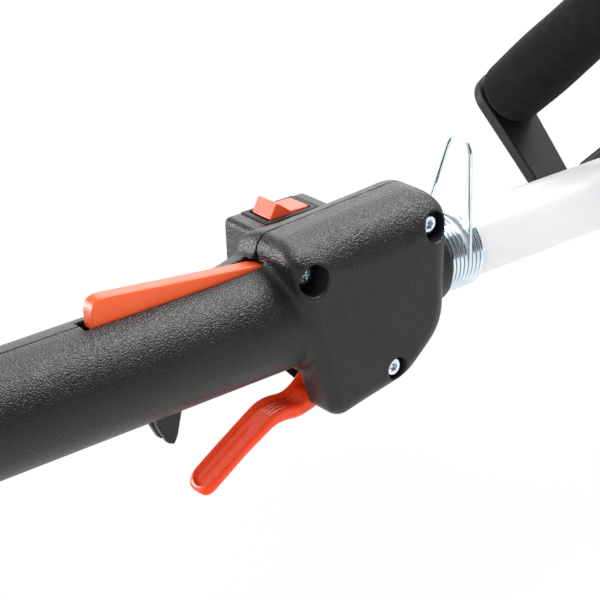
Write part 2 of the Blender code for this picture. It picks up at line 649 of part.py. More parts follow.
def clutch():
    turned("clutch_housing", CHARCOAL, BODY, "X", [
        (0.0210, 0.1420), (0.0210, 0.1280), (0.0470, 0.1155), (0.0470, 0.0920), (0.0560, 0.0920),
        (0.0560, 0.0838), (0.0425, 0.0838), (0.0425, 0.1125), (0.0123, 0.1125),
        (0.0123, 0.1205), (SEAT_R, 0.1205), (SEAT_R, 0.1420)], closed=True)
    ring("clutch_bearing", STEEL, BODY, "X", 0.0120, 0.0063, 0.1128, 0.1202)
    bore = DRIVE_R + CLEAR
    turned("clutch_drum", STEEL, BODY, "X", [
        (0.0060, 0.1300), (0.0060, 0.1120), (DRUM_R, 0.1120), (DRUM_R, 0.0880),
        (DRUM_R - 0.0025, 0.0880), (DRUM_R - 0.0025, 0.1095), (bore, 0.1095), (bore, 0.1300)],
        closed=True)
    rotor = rod("clutch_rotor", STEEL, BODY, "X", DRUM_R - 0.0035, 0.0900, 0.1070)
    cut(rotor, rod("rotor_bore", None, BODY, "X", 0.0053, 0.08, 0.12, steps=16))
    for side in (1, -1):
        slot = box("rotor_slot_%s" % ("left" if side > 0 else "right"), None, BODY,
                   *([(0.08, 0.0100, -0.0270), (0.12, 0.0125, 0.0400)] if side > 0 else
                     [(0.08, -0.0125, -0.0400), (0.12, -0.0100, 0.0270)]))
        cut(rotor, slot)


def blades():
    """Fan blades of the flywheel, as one tool of separate boxes."""
    bm = bmesh.new()
    for k in range(10):
        made = bmesh.ops.create_cube(bm, size=1.0)["verts"]
        bmesh.ops.scale(bm, vec=(0.0180, 0.0230, 0.0026), verts=made)
        bmesh.ops.translate(bm, vec=(0.0690, 0.0405, 0.0), verts=made)
        bmesh.ops.rotate(bm, cent=(0, 0, 0), matrix=Matrix.Rotation(2 * math.pi * k / 10, 3, "X"),
                         verts=made)
    return add("flywheel_blades", mesh_from(bm, "flywheel_blades"), None, BODY)


def crank():
    bore = CRANK_R + CLEAR
    wheel = turned("flywheel", CAST, BODY, "X", [
        (0.0150, 0.0800), (0.0150, 0.0620), (FLYWHEEL_R, 0.0620), (FLYWHEEL_R, 0.0520),
        (bore, 0.0520), (bore, 0.0800)], closed=True)
    join(wheel, blades())
    x = CYL_X
    throw = STROKE / 2
    shaft_front = rod("crankshaft", STEEL, BODY, "X", CRANK_R, x + 0.0100, 0.0850, steps=20)
    join(shaft_front, rod("crank_nose", None, BODY, "X", 0.0050, 0.0800, 0.1060, steps=20),
         rod("crank_web_front", None, BODY, "X", 0.0270, x + 0.0090, x + 0.0190),
         rod("crank_pin", None, BODY, "X", 0.0050, x - 0.0100, x + 0.0100, (0, throw), steps=16),
         rod("crank_web_rear", None, BODY, "X", 0.0270, x - 0.0190, x - 0.0090),
         rod("crank_tail", None, BODY, "X", CRANK_R, x - 0.0640, x - 0.0180, steps=20))
    case = rod("crankcase", CAST, BODY, "X", 0.0360, -0.0400, 0.0434)
    join(case, box("case_deck", None, BODY, (x - 0.0330, -0.0300, 0.0200),
                   (x + 0.0330, 0.0300, 0.0395)),
         box("case_legs", None, BODY, (-0.0380, -0.0300, -0.0640), (0.0420, 0.0300, -0.0200)))
    cut(case, rod("case_hollow", None, BODY, "X", 0.0285, x - 0.0200, x + 0.0200),
        rod("case_mouth", None, BODY, "Z", BORE_R + 0.0005, 0.0, 0.05, (x, 0)),
        rod("case_bore", None, BODY, "X", bore, -0.05, 0.05, steps=20))
    small = throw + ROD_LENGTH
    rail = 0.0032
    rod_outline = [(rail, throw + 0.0070), (rail, small - 0.0060), (-rail, small - 0.0060),
                   (-rail, throw + 0.0070)]
    link = plate("connecting_rod", CAST, BODY, "YZ", [rod_outline], x - 0.0045, x + 0.0045)
    join(link, rod("rod_big_end", None, BODY, "X", 0.0085, x - 0.0040, x + 0.0040, (0, throw)),
         rod("rod_small_end", None, BODY, "X", 0.0072, x - 0.0040, x + 0.0040, (0, small)))
    cut(link, rod("rod_big_eye", None, BODY, "X", 0.0054, x - 0.02, x + 0.02, (0, throw), steps=16),
        rod("rod_small_eye", None, BODY, "X", 0.0052, x - 0.02, x + 0.02, (0, small), steps=16))
    rod("wrist_pin", STEEL, BODY, "X", 0.0049, x - 0.0170, x + 0.0170, (0, small), steps=16)
    crown = small + 0.0120
    piston = turned("piston", CAST, BODY, "Z", [
        (0, crown), (BORE_R - 0.0004, crown), (BORE_R - 0.0004, small - 0.0140),
        (0.0165, small - 0.0140), (0.0165, crown - 0.0035), (0, crown - 0.0035)], at=(x, 0, 0))
    cut(piston, rod("piston_bore", None, BODY, "X", 0.0052, x - 0.03, x + 0.03, (0, small),
                    steps=16))


def cylinder():
    base, top = CYL_BASE, CYL_TOP
    core = 0.0270
    outer = [(0.0072, top), (core - 0.005, top)]
    z = top - 0.0040
    for _ in range(FIN_COUNT):
        outer += [(core, z), (FIN_R, z), (FIN_R, z - 0.0030), (core, z - 0.0030)]
        z -= FIN_PITCH
    outer += [(core, base + 0.0060), (0.0320, base + 0.0060), (0.0320, base)]
    inner = [(BORE_R, base), (BORE_R, CHAMBER[0]), (0.0072, CHAMBER[1])]
    barrel = turned("cylinder", CAST, BODY, "Z", outer + inner, at=(CYL_X, 0, 0), steps=20,
                    closed=True)
    for side, label in ((1, "inlet"), (-1, "outlet")):
        low, high = sorted((side * 0.0230, side * 0.0485))
        join(barrel, box("port_" + label, None, BODY, (CYL_X - 0.0140, low, CARB_Z - 0.0130),
                         (CYL_X + 0.0140, high, CARB_Z + 0.0130)))
    turned("spark_plug", STEEL, BODY, "Z", [
        (0, 0.1400), (0.0048, 0.1400), (0.0050, 0.1215), (0.0095, 0.1205), (0.0095, 0.1124),
        (0.0069, 0.1123), (0.0069, 0.0960), (0, 0.0960)], at=(CYL_X, 0, 0), steps=12)
    turned("plug_boot", RUBBER, BODY, "Z", [
        (0, 0.1480), (0.0060, 0.1480), (0.0085, 0.1450), (0.0085, 0.1220), (0.0054, 0.1220),
        (0.0054, 0.1403), (0, 0.1403)], at=(CYL_X, 0, 0), steps=16)


def covers():
    wall = 0.0030
    low, high = SHROUD_LOW, SHROUD_HIGH
    shroud = box("top_shroud", ORANGE, BODY, low, high, bevel=0.0120, segments=3)
    inner = [(a + wall, b - wall) for a, b in zip(low, high)]
    cut(shroud, box("shroud_hollow", None, BODY, (inner[0][0], inner[1][0], 0.0),
                    (inner[0][1], inner[1][1], high[2] - wall), bevel=0.0090, segments=3),
        box("shroud_mouth", None, BODY, (-0.1, -0.1, 0.0), (0.1, 0.1, low[2] + 0.0125)),
        rod("shroud_plug_hole", None, BODY, "Z", 0.0130, 0.11, 0.14, (CYL_X, 0), steps=20),
        box("shroud_ports", None, BODY, (CYL_X - 0.0190, -0.06, 0.0), (CYL_X + 0.0190, 0.06,
                                                                      CARB_Z + 0.0190)))
    for k in range(4):
        z = 0.0790 + 0.0090 * k
        cut(shroud, box("shroud_louvre_%d" % k, None, BODY, (-0.06, -0.0280, z),
                        (-0.0450, 0.0280, z + 0.0045)))
    for side, label in ((1, "front"), (-1, "rear")):
        near, far = sorted((CYL_X + side * 0.0142, CYL_X + side * 0.0200))
        join(shroud, box("shroud_post_" + label, None, BODY, (near, -0.0050, CYL_TOP + CLEAR),
                         (far, 0.0050, high[2] - 0.0020)))
    turned("fan_housing", CHARCOAL, BODY, "X", [
        (FAN_R, 0.0835), (FAN_R, 0.0440), (0.0300, 0.0440), (0.0300, 0.0480), (0.0580, 0.0480),
        (0.0580, 0.0805), (0.0450, 0.0805), (0.0450, 0.0835)], closed=True, steps=32)
    can = box("muffler", STEEL, BODY, (CYL_X - 0.0290, -0.0890, CARB_Z - 0.0310),
              (CYL_X + 0.0290, -0.0488, CARB_Z + 0.0270), bevel=0.0080)
    join(can, rod("muffler_pipe", None, BODY, "X", 0.0055, CYL_X + 0.0250, CYL_X + 0.0400,
                  (-0.0690, CARB_Z - 0.0180), steps=16))
    cut(can, box("muffler_hollow", None, BODY, (CYL_X - 0.0265, -0.0865, CARB_Z - 0.0285),
                 (CYL_X + 0.0265, -0.0513, CARB_Z + 0.0245), bevel=0.0060),
        rod("muffler_outlet", None, BODY, "X", 0.0040, CYL_X + 0.0200, CYL_X + 0.0500,
                 (-0.0690, CARB_Z - 0.0180), steps=12))
    glow, ghigh = (CYL_X - 0.0350, -0.0965, CARB_Z - 0.0370), (CYL_X + 0.0330, -0.0474, 0.1050)
    guard = box("muffler_guard", CHARCOAL, BODY, glow, ghigh, bevel=0.0100)
    cut(guard, box("guard_hollow", None, BODY, (glow[0] + 0.003, glow[1] + 0.003, glow[2] + 0.003),
                   (ghigh[0] - 0.003, 0.0, ghigh[2] - 0.003), bevel=0.0070),
        box("guard_mouth", None, BODY, (-0.1, -0.0595, 0.0), (0.1, -0.04, 0.2)),
        rod("guard_outlet", None, BODY, "X", 0.0085, 0.02, 0.05, (-0.0690, CARB_Z - 0.0180),
            steps=16))
    for k in range(5):
        x = glow[0] + 0.0130 + 0.0095 * k
        cut(guard, box("guard_louvre_%d" % k, None, BODY, (x, -0.11, CARB_Z - 0.0200),
                       (x + 0.0045, -0.0900, CARB_Z + 0.0160)))
    strap = box("guard_strap", None, BODY, (glow[0] + 0.006, -0.0620, ghigh[2] - 0.0045),
                (ghigh[0] - 0.006, -0.0474, ghigh[2] - 0.0015))
    join(guard, strap, box("guard_stop", None, BODY, (CYL_X - 0.0120, -0.0940, CARB_Z + 0.0190),
                           (CYL_X + 0.0120, -0.0890 - CLEAR, CARB_Z + 0.0220)))


def intake():
    x, z = CYL_X, CARB_Z
    block = box("intake_block", BLACK, BODY, (x - 0.0180, 0.0488, z - 0.0180),
                (x + 0.0180, 0.0620, z + 0.0180), bevel=0.0030)
    cut(block, rod("block_bore", None, BODY, "Y", 0.0080, 0.04, 0.07, (x, z)))
    carb = box("carburettor", CAST, BODY, (x - 0.0170, 0.0623, z - 0.0190),
               (x + 0.0170, 0.0940, z + 0.0190), bevel=0.0025)
    cut(carb, rod("carb_bore", None, BODY, "Y", 0.0080, 0.05, 0.10, (x, z)),
        rod("carb_shaft_bore", None, BODY, "X", 0.0025, x - 0.03, x - 0.0100, (0.0780, z),
            steps=12),
        rod("carb_choke_bore", None, BODY, "Z", 0.0025, z + 0.0100, z + 0.03, (x + 0.0100, 0.0780),
            steps=12),
        rod("carb_bulb_socket", None, BODY, "Z", 0.0094, z - 0.03, z - 0.0100, (x, 0.0780)))
    arm_x = x - 0.0175
    arm = plate("throttle_arm", ZINC, BODY, "YZ", [[
        (0.0780 + 0.0045 * math.cos(a), z + 0.0045 * math.sin(a)) for a in
        [math.radians(180 + 180 * k / 8) for k in range(9)]] + [(0.0805, z + 0.0160),
                                                               (0.0755, z + 0.0160)]],
        arm_x - 0.0020, arm_x, origin=(0.0780, z))
    join(arm, rod("arm_stub", None, BODY, "X", 0.0022, arm_x - 0.0010, x - 0.0110,
                  (0.0780, z), steps=12))
    top = z + 0.0190
    choke = plate("choke_lever", BLACK, BODY, "XY", [[
        (x + 0.0100 + 0.0050 * math.cos(a), 0.0780 + 0.0050 * math.sin(a)) for a in
        [math.radians(-90 + 180 * k / 8) for k in range(9)]] + [
            (x - 0.0140, 0.0815), (x - 0.0160, 0.0780), (x - 0.0140, 0.0745)]],
        top + CLEAR, top + 0.0033, origin=(x + 0.0100, 0.0780))
    join(choke, rod("choke_stub", None, BODY, "Z", 0.0022, z + 0.0110, top + 0.0010,
                    (x + 0.0100, 0.0780), steps=12))
    turned("primer_bulb", RUBBER, BODY, "Z", [
        (0, z - 0.0150), (0.0090, z - 0.0150), (0.0090, z - 0.0210), (0.0078, z - 0.0250),
        (0.0045, z - 0.0278), (0, z - 0.0285)], at=(x, 0.0780, 0))
    half_x, half_z = 0.0450, 0.0400
    base = box("air_filter_base", BLACK, BODY, (x - half_x, 0.0943, z - half_z),
               (x + half_x, 0.0983, z + half_z), bevel=0.0010)
    cut(base, rod("base_bore", None, BODY, "Y", 0.0085, 0.09, 0.11, (x, z)))
    box("air_filter_element", FOAM, BODY, (x - 0.0380, 0.0986, z - 0.0330),
        (x + 0.0380, 0.1110, z + 0.0330), bevel=0.0020)
    cover = box("air_filter_cover", CHARCOAL, BODY, (x - half_x, 0.0700, z - half_z),
                (x + half_x, 0.1300, z + half_z), bevel=0.0100, segments=3)
    cut(cover, box("cover_hollow", None, BODY, (x - half_x + 0.0025, 0.0600, z - half_z + 0.0025),
                   (x + half_x - 0.0025, 0.1275, z + half_z - 0.0025), bevel=0.0080, segments=3),
        box("cover_mouth", None, BODY, (-0.1, 0.05, 0.0), (0.1, 0.0986, 0.2)))
    for k in range(4):
        zz = z - 0.0180 + 0.0105 * k
        cut(cover, box("cover_slot_%d" % k, None, BODY, (x + half_x - 0.006, 0.1040, zz),
                       (x + half_x + 0.01, 0.1200, zz + 0.0045)))


def starter():
    front, rear = -0.0405, -0.0880
    cup = turned("starter_housing", CHARCOAL, BODY, "X", [
        (0, rear + 0.0030), (STARTER_R - 0.0125, rear + 0.0030), (STARTER_R - 0.0035, -0.0760),
        (STARTER_R - 0.0035, front), (STARTER_R, front), (STARTER_R, -0.0780),
        (STARTER_R - 0.0100, rear), (0, rear)], steps=32)
    guide = box("rope_guide", None, BODY, (-0.0720, 0.0380, 0.0080), (-0.0560, 0.0560, 0.0320),
                bevel=0.0020)
    hollow = rod("starter_hollow", None, BODY, "X", STARTER_R - 0.0040, -0.0755, -0.03)
    cut(join(cup, guide), hollow)
    for k in range(10):
        angle = 2 * math.pi * k / 10
        vent = box("starter_vent_%d" % k, None, BODY, (-0.1, -0.0022, 0.0160),
                   (-0.0800, 0.0022, 0.0350), turn=(angle, 0, 0))
        cut(cup, vent)
    grip = rod("starter_handle", BLACK, BODY, "Z", 0.0065, 0.0000, 0.0400, (-0.0640, 0.0700),
               steps=16)
    join(grip, rod("handle_stem", None, BODY, "Y", 0.0040, 0.0563, 0.0700, (-0.0640, 0.0200),
                   radius_end=0.0055, steps=16))


def tank_and_foot():
    ground = -SHAFT_Z
    bottom = ground + FOOT_T + CLEAR
    top = -0.0643
    hx, hy = TANK[0] / 2, TANK[1] / 2
    mid = 0.0020
    tank = box("fuel_tank", TANK_MAT, BODY, (mid - hx, -hy, bottom), (mid + hx, hy, top),
               bevel=0.0120, segments=3)
    neck_at = (0.0150, -0.0590)
    join(tank, rod("tank_neck", None, BODY, "Z", 0.0130, top - 0.004, top + 0.0100, neck_at))
    turned("fuel_cap", BLACK, BODY, "Z", [
        (0, top + 0.0140), (0.0150, top + 0.0140), (0.0170, top + 0.0120), (0.0170, top + CLEAR),
        (0.0133, top + CLEAR), (0.0133, top + 0.0103), (0, top + 0.0103)], at=(*neck_at, 0),
        steps=24)
    foot = box("engine_foot", CHARCOAL, BODY, (-0.0740, -0.0550, ground),
               (0.0740, 0.0550, ground + FOOT_T), bevel=0.0)
    join(foot, box("foot_front_post", None, BODY, (0.0640, -0.0220, ground + 0.001),
                   (0.0720, 0.0220, -0.0550)),
         box("foot_rear_post", None, BODY, (-0.0720, -0.0220, ground + 0.001),
             (-0.0640, 0.0220, -0.0400)))
    cut(foot, rod("foot_front_seat", None, BODY, "X", FAN_R + CLEAR, 0.05, 0.09, steps=32),
        rod("foot_rear_seat", None, BODY, "X", STARTER_R + CLEAR, -0.09, -0.05, steps=32))


def gear_head():
    case = turned("gearbox_housing", CAST, HEAD, "Z", [
        (0, 0.0240), (0.0150, 0.0240), (0.0240, 0.0130), (0.0240, -0.0200), (0.0190, -0.0340),
        (0, -0.0340)])
    collar = turned("gearbox_collar", None, NECK, "X", [
        (0, 0.0), (0.0215, 0.0), (0.0215, -0.0240), (0.0185, -0.0340), (0.0185, -0.0750),
        (0, -0.0750)])
    hollow = turned("gearbox_hollow", None, HEAD, "Z", [
        (0, 0.0160), (0.0100, 0.0160), (0.0180, 0.0080), (0.0180, -0.0140), (0.0133, -0.0140),
        (0.0133, -0.0500), (0, -0.0500)])
    cut(join(case, collar), hollow,
        rod("gearbox_bore", None, NECK, "X", 0.0110, -0.0400, -0.0020),
        rod("gearbox_seat", None, NECK, "X", SEAT_R, -0.0900, -0.0297, steps=32))
    bore = DRIVE_R + CLEAR
    turned("pinion_gear", STEEL, NECK, "X", [
        (0, -0.0052), (0.0046, -0.0052), (0.0086, -0.0096), (0.0086, -0.0120), (0.0107, -0.0140),
        (0.0107, -0.0270), (bore, -0.0270), (bore, -0.0117), (0, -0.0117)])
    turned("output_spindle", STEEL, HEAD, "Z", [
        (0, -0.0024), (0.0062, -0.0024), (0.0128, -0.0040), (0.0134, -0.0065), (0.0110, -0.0095),
        (0.0060, -0.0095), (0.0060, -0.0360), (SPINDLE_R, -0.0360), (SPINDLE_R, HEAD_TOP - 0.0325),
        (0, HEAD_TOP - 0.0325)])
    ring("spindle_bearing", STEEL, HEAD, "Z", 0.0130, 0.0063, -0.0335, -0.0143)
    plate_in = GUARD_TOP - GUARD_T
    drop = (SHAFT_Z - GUARD_R * math.sin(-HEAD_TURN)) / math.cos(HEAD_TURN)
    guard = turned("debris_guard", BLACK, HEAD, "Z", [
        (0.0260, GUARD_TOP), (GUARD_R - 0.0080, GUARD_TOP), (GUARD_R, GUARD_TOP - 0.0080),
        (GUARD_R, -drop), (GUARD_R - GUARD_T, -drop), (GUARD_R - GUARD_T, plate_in - 0.0060),
        (GUARD_R - 0.0090, plate_in), (0.0260, plate_in)], steps=48, closed=True)
    cut(guard, box("guard_front", None, HEAD, (0.0150, -0.2, -0.2), (0.2, 0.2, 0.0)))
    bracket = box("guard_bracket", CHARCOAL, HEAD,
                  (BRACKET_INSET - GUARD_R, -0.0220, GUARD_TOP + CLEAR),
                  (-0.0640, 0.0220, GUARD_TOP + 0.0045), bevel=0.0010)
    join(bracket, box("bracket_leg", None, NECK, (-0.0620, -0.0080, -0.0665),
                      (-0.0460, 0.0080, -0.0190)),
         rod("bracket_ring", None, NECK, "X", 0.0235, -0.0640, -0.0440))
    cut(bracket, rod("bracket_bore", None, NECK, "X", 0.0185 + CLEAR, -0.08, -0.03))
    inner = GUARD_R - GUARD_T
    edge = math.sqrt(inner ** 2 - 0.0200 ** 2) - CLEAR
    box("line_cutter", ZINC, HEAD, (-0.0100, edge - 0.0015, -drop + 0.0030),
        (0.0200, edge, -drop + 0.0280))


def cutting_head():
    top = HEAD_TOP
    bore = SPINDLE_R + CLEAR
    turned("head_housing", BLACK, HEAD, "Z", [
        (0.0300, top), (0.0500, top - 0.0105), (HEAD_R, top - 0.0185), (HEAD_R, top - 0.0410),
        (HEAD_R - 0.0030, top - 0.0410), (HEAD_R - 0.0030, top - 0.0195),
        (HEAD_R - 0.0070, top - 0.0130), (0.0290, top - 0.0030), (bore, top - 0.0030),
        (bore, top + 0.0050), (0.0150, top + 0.0050), (0.0150, top)], closed=True, steps=32)
    turned("line_spool", ORANGE, HEAD, "Z", [
        (bore, top - 0.0185), (0.0440, top - 0.0185), (0.0440, top - 0.0205),
        (0.0220, top - 0.0205), (0.0220, top - 0.0370), (0.0480, top - 0.0370),
        (0.0480, top - 0.0400), (bore, top - 0.0400)], closed=True, steps=32)
    turned("bump_knob", ORANGE, HEAD, "Z", [
        (0, top - 0.0403), (0.0280, top - 0.0403), (0.0280, top - 0.0440), (0.0240, top - 0.0560),
        (0.0180, top - 0.0590), (0, top - 0.0600)], steps=32)


shaft()
control_handle()
loop_handle()
clutch()
crank()
cylinder()
covers()
intake()
starter()
tank_and_foot()
gear_head()
cutting_head()
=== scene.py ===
"""Looks of the gas string trimmer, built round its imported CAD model.

Shapes are written as fields, in millimetres, that are negative inside a piece, and skin() turns
a field into a smooth closed mesh. Handle pieces use the handle's own frame, whose origin lies on
the shaft axis.
"""
import math
from functools import reduce
from math import pi, radians

import bpy
import numpy as np
from numpy import hypot, maximum, minimum
from mathutils import Matrix, Vector


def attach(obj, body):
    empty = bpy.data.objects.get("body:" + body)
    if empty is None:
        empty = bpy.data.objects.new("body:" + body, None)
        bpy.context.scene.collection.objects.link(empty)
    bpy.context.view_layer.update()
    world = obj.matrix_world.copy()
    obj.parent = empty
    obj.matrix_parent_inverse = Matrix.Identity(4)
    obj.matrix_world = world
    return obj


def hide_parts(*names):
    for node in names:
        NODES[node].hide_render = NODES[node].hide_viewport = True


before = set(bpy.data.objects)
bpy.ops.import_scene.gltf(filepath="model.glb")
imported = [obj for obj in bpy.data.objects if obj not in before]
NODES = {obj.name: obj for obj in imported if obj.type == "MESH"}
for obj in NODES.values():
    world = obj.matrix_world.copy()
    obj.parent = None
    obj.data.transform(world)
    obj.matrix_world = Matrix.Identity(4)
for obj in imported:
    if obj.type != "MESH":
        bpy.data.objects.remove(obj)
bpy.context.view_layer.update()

MM = 0.001
SHAFT_Z = 0.150
SHAFT_R = 13.0
SEAT_R = 13.3
HANDLE_X = 0.380
LOOP_X = 0.1195
LOOP_TURN = radians(-42.1)
HEAD_X = 1.470
HEAD_TURN = radians(-30)
GAP = 0.3                 # assembly gap between neighbouring pieces
RIGHT_ANGLE = pi / 2

AT_HANDLE = Matrix.Translation((HANDLE_X, 0, SHAFT_Z))
AT_LOOP = Matrix.Translation((HANDLE_X + LOOP_X, 0, SHAFT_Z)) @ Matrix.Rotation(LOOP_TURN, 4, "X")
AT_BODY = Matrix.Translation((0, 0, SHAFT_Z))
AT_NECK = Matrix.Translation((HEAD_X, 0, SHAFT_Z))
AT_HEAD = AT_NECK @ Matrix.Rotation(HEAD_TURN, 4, "Y")


def new_object(name, data):
    made = bpy.data.objects.new(name, data)
    bpy.context.scene.collection.objects.link(made)
    return made


# Camera, at the photograph's viewing angle
EYE = (-0.0715, -0.4990, 0.4381)
LOOK = (0.557, 0.720, -0.414)
UPRIGHT = (0.285, 0.302, 0.910)


def add_camera():
    data = bpy.data.cameras.new("camera")
    data.lens = 120
    data.sensor_width = 36
    data.clip_start = 0.01
    camera = new_object("camera", data)
    forward = Vector(LOOK).normalized()
    right = forward.cross(Vector(UPRIGHT)).normalized()
    turn = Matrix((right, right.cross(forward), -forward)).transposed().to_4x4()
    camera.matrix_world = Matrix.Translation(EYE) @ turn
    bpy.context.scene.camera = camera


# Materials
def tree(name):
    mat = bpy.data.materials.new(name)
    mat.use_nodes = True
    return mat, mat.node_tree, mat.node_tree.nodes["Principled BSDF"]


def node(nt, kind, **values):
    made = nt.nodes.new(kind)
    for key, value in values.items():
        if key[0].isupper():
            made.inputs[key.replace("_", " ")].default_value = value
        else:
            setattr(made, key, value)
    return made


def ramp(nt, source, low, high, low_value, high_value):
    """Map a texture's range low..high to two values, or to two colours."""
    if isinstance(low_value, tuple):
        made = node(nt, "ShaderNodeValToRGB")
        made.color_ramp.elements[0].position = low
        made.color_ramp.elements[1].position = high
        made.color_ramp.elements[0].color = (*low_value, 1)
        made.color_ramp.elements[1].color = (*high_value, 1)
        nt.links.new(source, made.inputs["Fac"])
        return made.outputs["Color"]
    made = node(nt, "ShaderNodeMapRange", From_Min=low, From_Max=high, To_Min=low_value,
                To_Max=high_value)
    nt.links.new(source, made.inputs["Value"])
    return made.outputs["Result"]


def noise(nt, size_mm, detail=3.0, rough=0.55):
    """Noise whose features are about size_mm across."""
    where = node(nt, "ShaderNodeTexCoord").outputs["Object"]
    made = node(nt, "ShaderNodeTexNoise", Scale=1000.0 / size_mm, Detail=detail, Roughness=rough)
    nt.links.new(where, made.inputs["Vector"])
    return made.outputs["Fac"]


def bump(nt, shader, height, depth_mm, under=None):
    made = node(nt, "ShaderNodeBump", Distance=depth_mm * MM)
    nt.links.new(height, made.inputs["Height"])
    if under:
        nt.links.new(under.outputs["Normal"], made.inputs["Normal"])
    nt.links.new(made.outputs["Normal"], shader.inputs["Normal"])
    return made


def tone(nt, shader, slow, colour, spread):
    """Base colour that drifts by the share spread with a slow texture."""
    dark = tuple(c * (1 - spread) for c in colour)
    light = tuple(min(1.0, c * (1 + spread)) for c in colour)
    nt.links.new(ramp(nt, slow, 0.35, 0.65, dark, light), shader.inputs["Base Color"])


def grain(nt, shader, fine, low, high, depth_mm):
    """Roughness from low to high and a bump, both from one fine texture."""
    nt.links.new(ramp(nt, fine, 0.3, 0.7, low, high), shader.inputs["Roughness"])
    bump(nt, shader, fine, depth_mm)


def plastic(name, colour, rough, grain_mm, depth_mm, spread=0.12, coat=0.0, level=0.5, detail=2.0):
    """Moulded plastic: a fine spark-eroded grain, with slow changes of tone and gloss."""
    mat, nt, shader = tree(name)
    tone(nt, shader, noise(nt, 23.0, 2.0), colour, spread)
    shader.inputs["Specular IOR Level"].default_value = level
    shader.inputs["Coat Weight"].default_value = coat
    shader.inputs["Coat Roughness"].default_value = 0.15
    grain(nt, shader, noise(nt, grain_mm, detail, 0.6), rough - 0.05, rough + 0.07, depth_mm)
    return mat


def metal(name, colour, rough, grain_mm, depth_mm, spread=0.1):
    """Bare metal with slow stains and a fine grain."""
    mat, nt, shader = tree(name)
    shader.inputs["Metallic"].default_value = 1.0
    tone(nt, shader, noise(nt, 9.0, 4.0, 0.6), colour, spread)
    grain(nt, shader, noise(nt, grain_mm, 3.0, 0.6), rough * 0.75, min(1.0, rough * 1.3), depth_mm)
    return mat


def foam_material():
    """Closed-cell foam: pores on a soft, very dull skin."""
    mat, nt, shader = tree("foam")
    where = node(nt, "ShaderNodeTexCoord").outputs["Object"]
    cells = node(nt, "ShaderNodeTexVoronoi", Scale=1150.0)
    nt.links.new(where, cells.inputs["Vector"])
    pores = cells.outputs["Distance"]
    slow = noise(nt, 6.0, 3.0)
    nt.links.new(ramp(nt, slow, 0.3, 0.7, (0.0045, 0.0050, 0.0060), (0.0085, 0.009, 0.010)),
                 shader.inputs["Base Color"])
    shader.inputs["Roughness"].default_value = 0.92
    shader.inputs["Specular IOR Level"].default_value = 0.12
    shader.inputs["Sheen Weight"].default_value = 0.04
    shader.inputs["Sheen Roughness"].default_value = 0.5
    first = bump(nt, shader, slow, 0.25)
    bump(nt, shader, pores, 0.16, under=first)
    return mat


def paint_material():
    """White powder paint: a faint orange-peel under a clear gloss."""
    mat, nt, shader = tree("shaft_paint")
    slow = noise(nt, 60.0, 2.0)
    nt.links.new(ramp(nt, slow, 0.3, 0.7, (0.76, 0.76, 0.775), (0.80, 0.80, 0.81)),
                 shader.inputs["Base Color"])
    grain(nt, shader, noise(nt, 4.0, 1.0), 0.28, 0.32, 0.002)
    return mat


CHARCOAL = plastic("charcoal_plastic", (0.0095, 0.0104, 0.0122), 0.37, 0.60, 0.320, level=0.40,
                   detail=1.0)
BLACK = plastic("black_plastic", (0.010, 0.010, 0.011), 0.40, 0.50, 0.020)
ARM_BLACK = plastic("arm_plastic", (0.010, 0.0115, 0.011), 0.46, 0.80, 0.060, level=0.2)
ORANGE = plastic("orange_plastic", (0.95, 0.062, 0.010), 0.30, 0.80, 0.006, 0.04, 0.1, 0.35)
# Painted light: a lighter, more orange copy of the orange plastic for the lockout lever, standing
# in for the key light falling on its top
KEY_LIT_ORANGE = plastic("key_lit_orange_plastic", (1.00, 0.128, 0.030), 0.36, 0.80, 0.006, 0.04,
                      level=0.4)
RED = plastic("red_plastic", (1.00, 0.115, 0.036), 0.32, 0.80, 0.004, 0.02, level=0.45)
FOAM = foam_material()
PAINT = paint_material()
ZINC = metal("bright_zinc", (0.78, 0.87, 0.93), 0.13, 0.5, 0.002)
STEEL = metal("turned_steel", (0.36, 0.36, 0.37), 0.30, 0.35, 0.003)
CAST = metal("cast_aluminium", (0.40, 0.41, 0.42), 0.46, 0.80, 0.060, spread=0.03)
MUFFLER = metal("muffler_steel", (0.30, 0.28, 0.26), 0.45, 0.50, 0.010, spread=0.3)
TANK = plastic("tank_plastic", (0.62, 0.62, 0.57), 0.36, 0.9, 0.012, 0.03)
RUBBER = plastic("rubber", (0.014, 0.014, 0.014), 0.62, 0.7, 0.02)


# Field tools; every length is in millimetres
def smin(a, b, k):
    """Union of two fields with a fillet about k wide."""
    h = np.clip(0.5 + 0.5 * (b - a) / k, 0, 1)
    return b + (a - b) * h - k * h * (1 - h)


def smax(a, b, k):
    return -smin(-a, -b, k)


def meet(*fields):
    """Where all of the fields overlap."""
    return reduce(maximum, fields)


def cut(a, k, *tools):
    """Field a without what all of the tools share, with edges about k wide."""
    return smax(a, -meet(*tools), k)


def join(a, k, *parts):
    """Field a and what all of the parts share, with a fillet about k wide."""
    return smin(a, meet(*parts), k)


def step01(v, low, high):
    t = np.clip((v - low) / (high - low), 0, 1)
    return t * t * (3 - 2 * t)


def slab(v, low, high):
    return maximum(low - v, v - high)


def round_edge(a, b, r):
    """Intersection of two fields, its edge rounded to radius r."""
    return minimum(maximum(a, b) + r, 0) + hypot(
        maximum(a + r, 0), maximum(b + r, 0)) - r


def block(p, low, high, r=0):
    middle = (np.array(low) + high) / 2
    half = (np.array(high) - low) / 2 - r
    q = abs(p - middle) - half
    return np.linalg.norm(maximum(q, 0), axis=1) + minimum(q.max(axis=1), 0) - r


def drum(across, along, radius, low, high, r=0):
    """Round solid from low to high; across is the distance from its axis."""
    return round_edge(across - radius, slab(along, low, high), r)


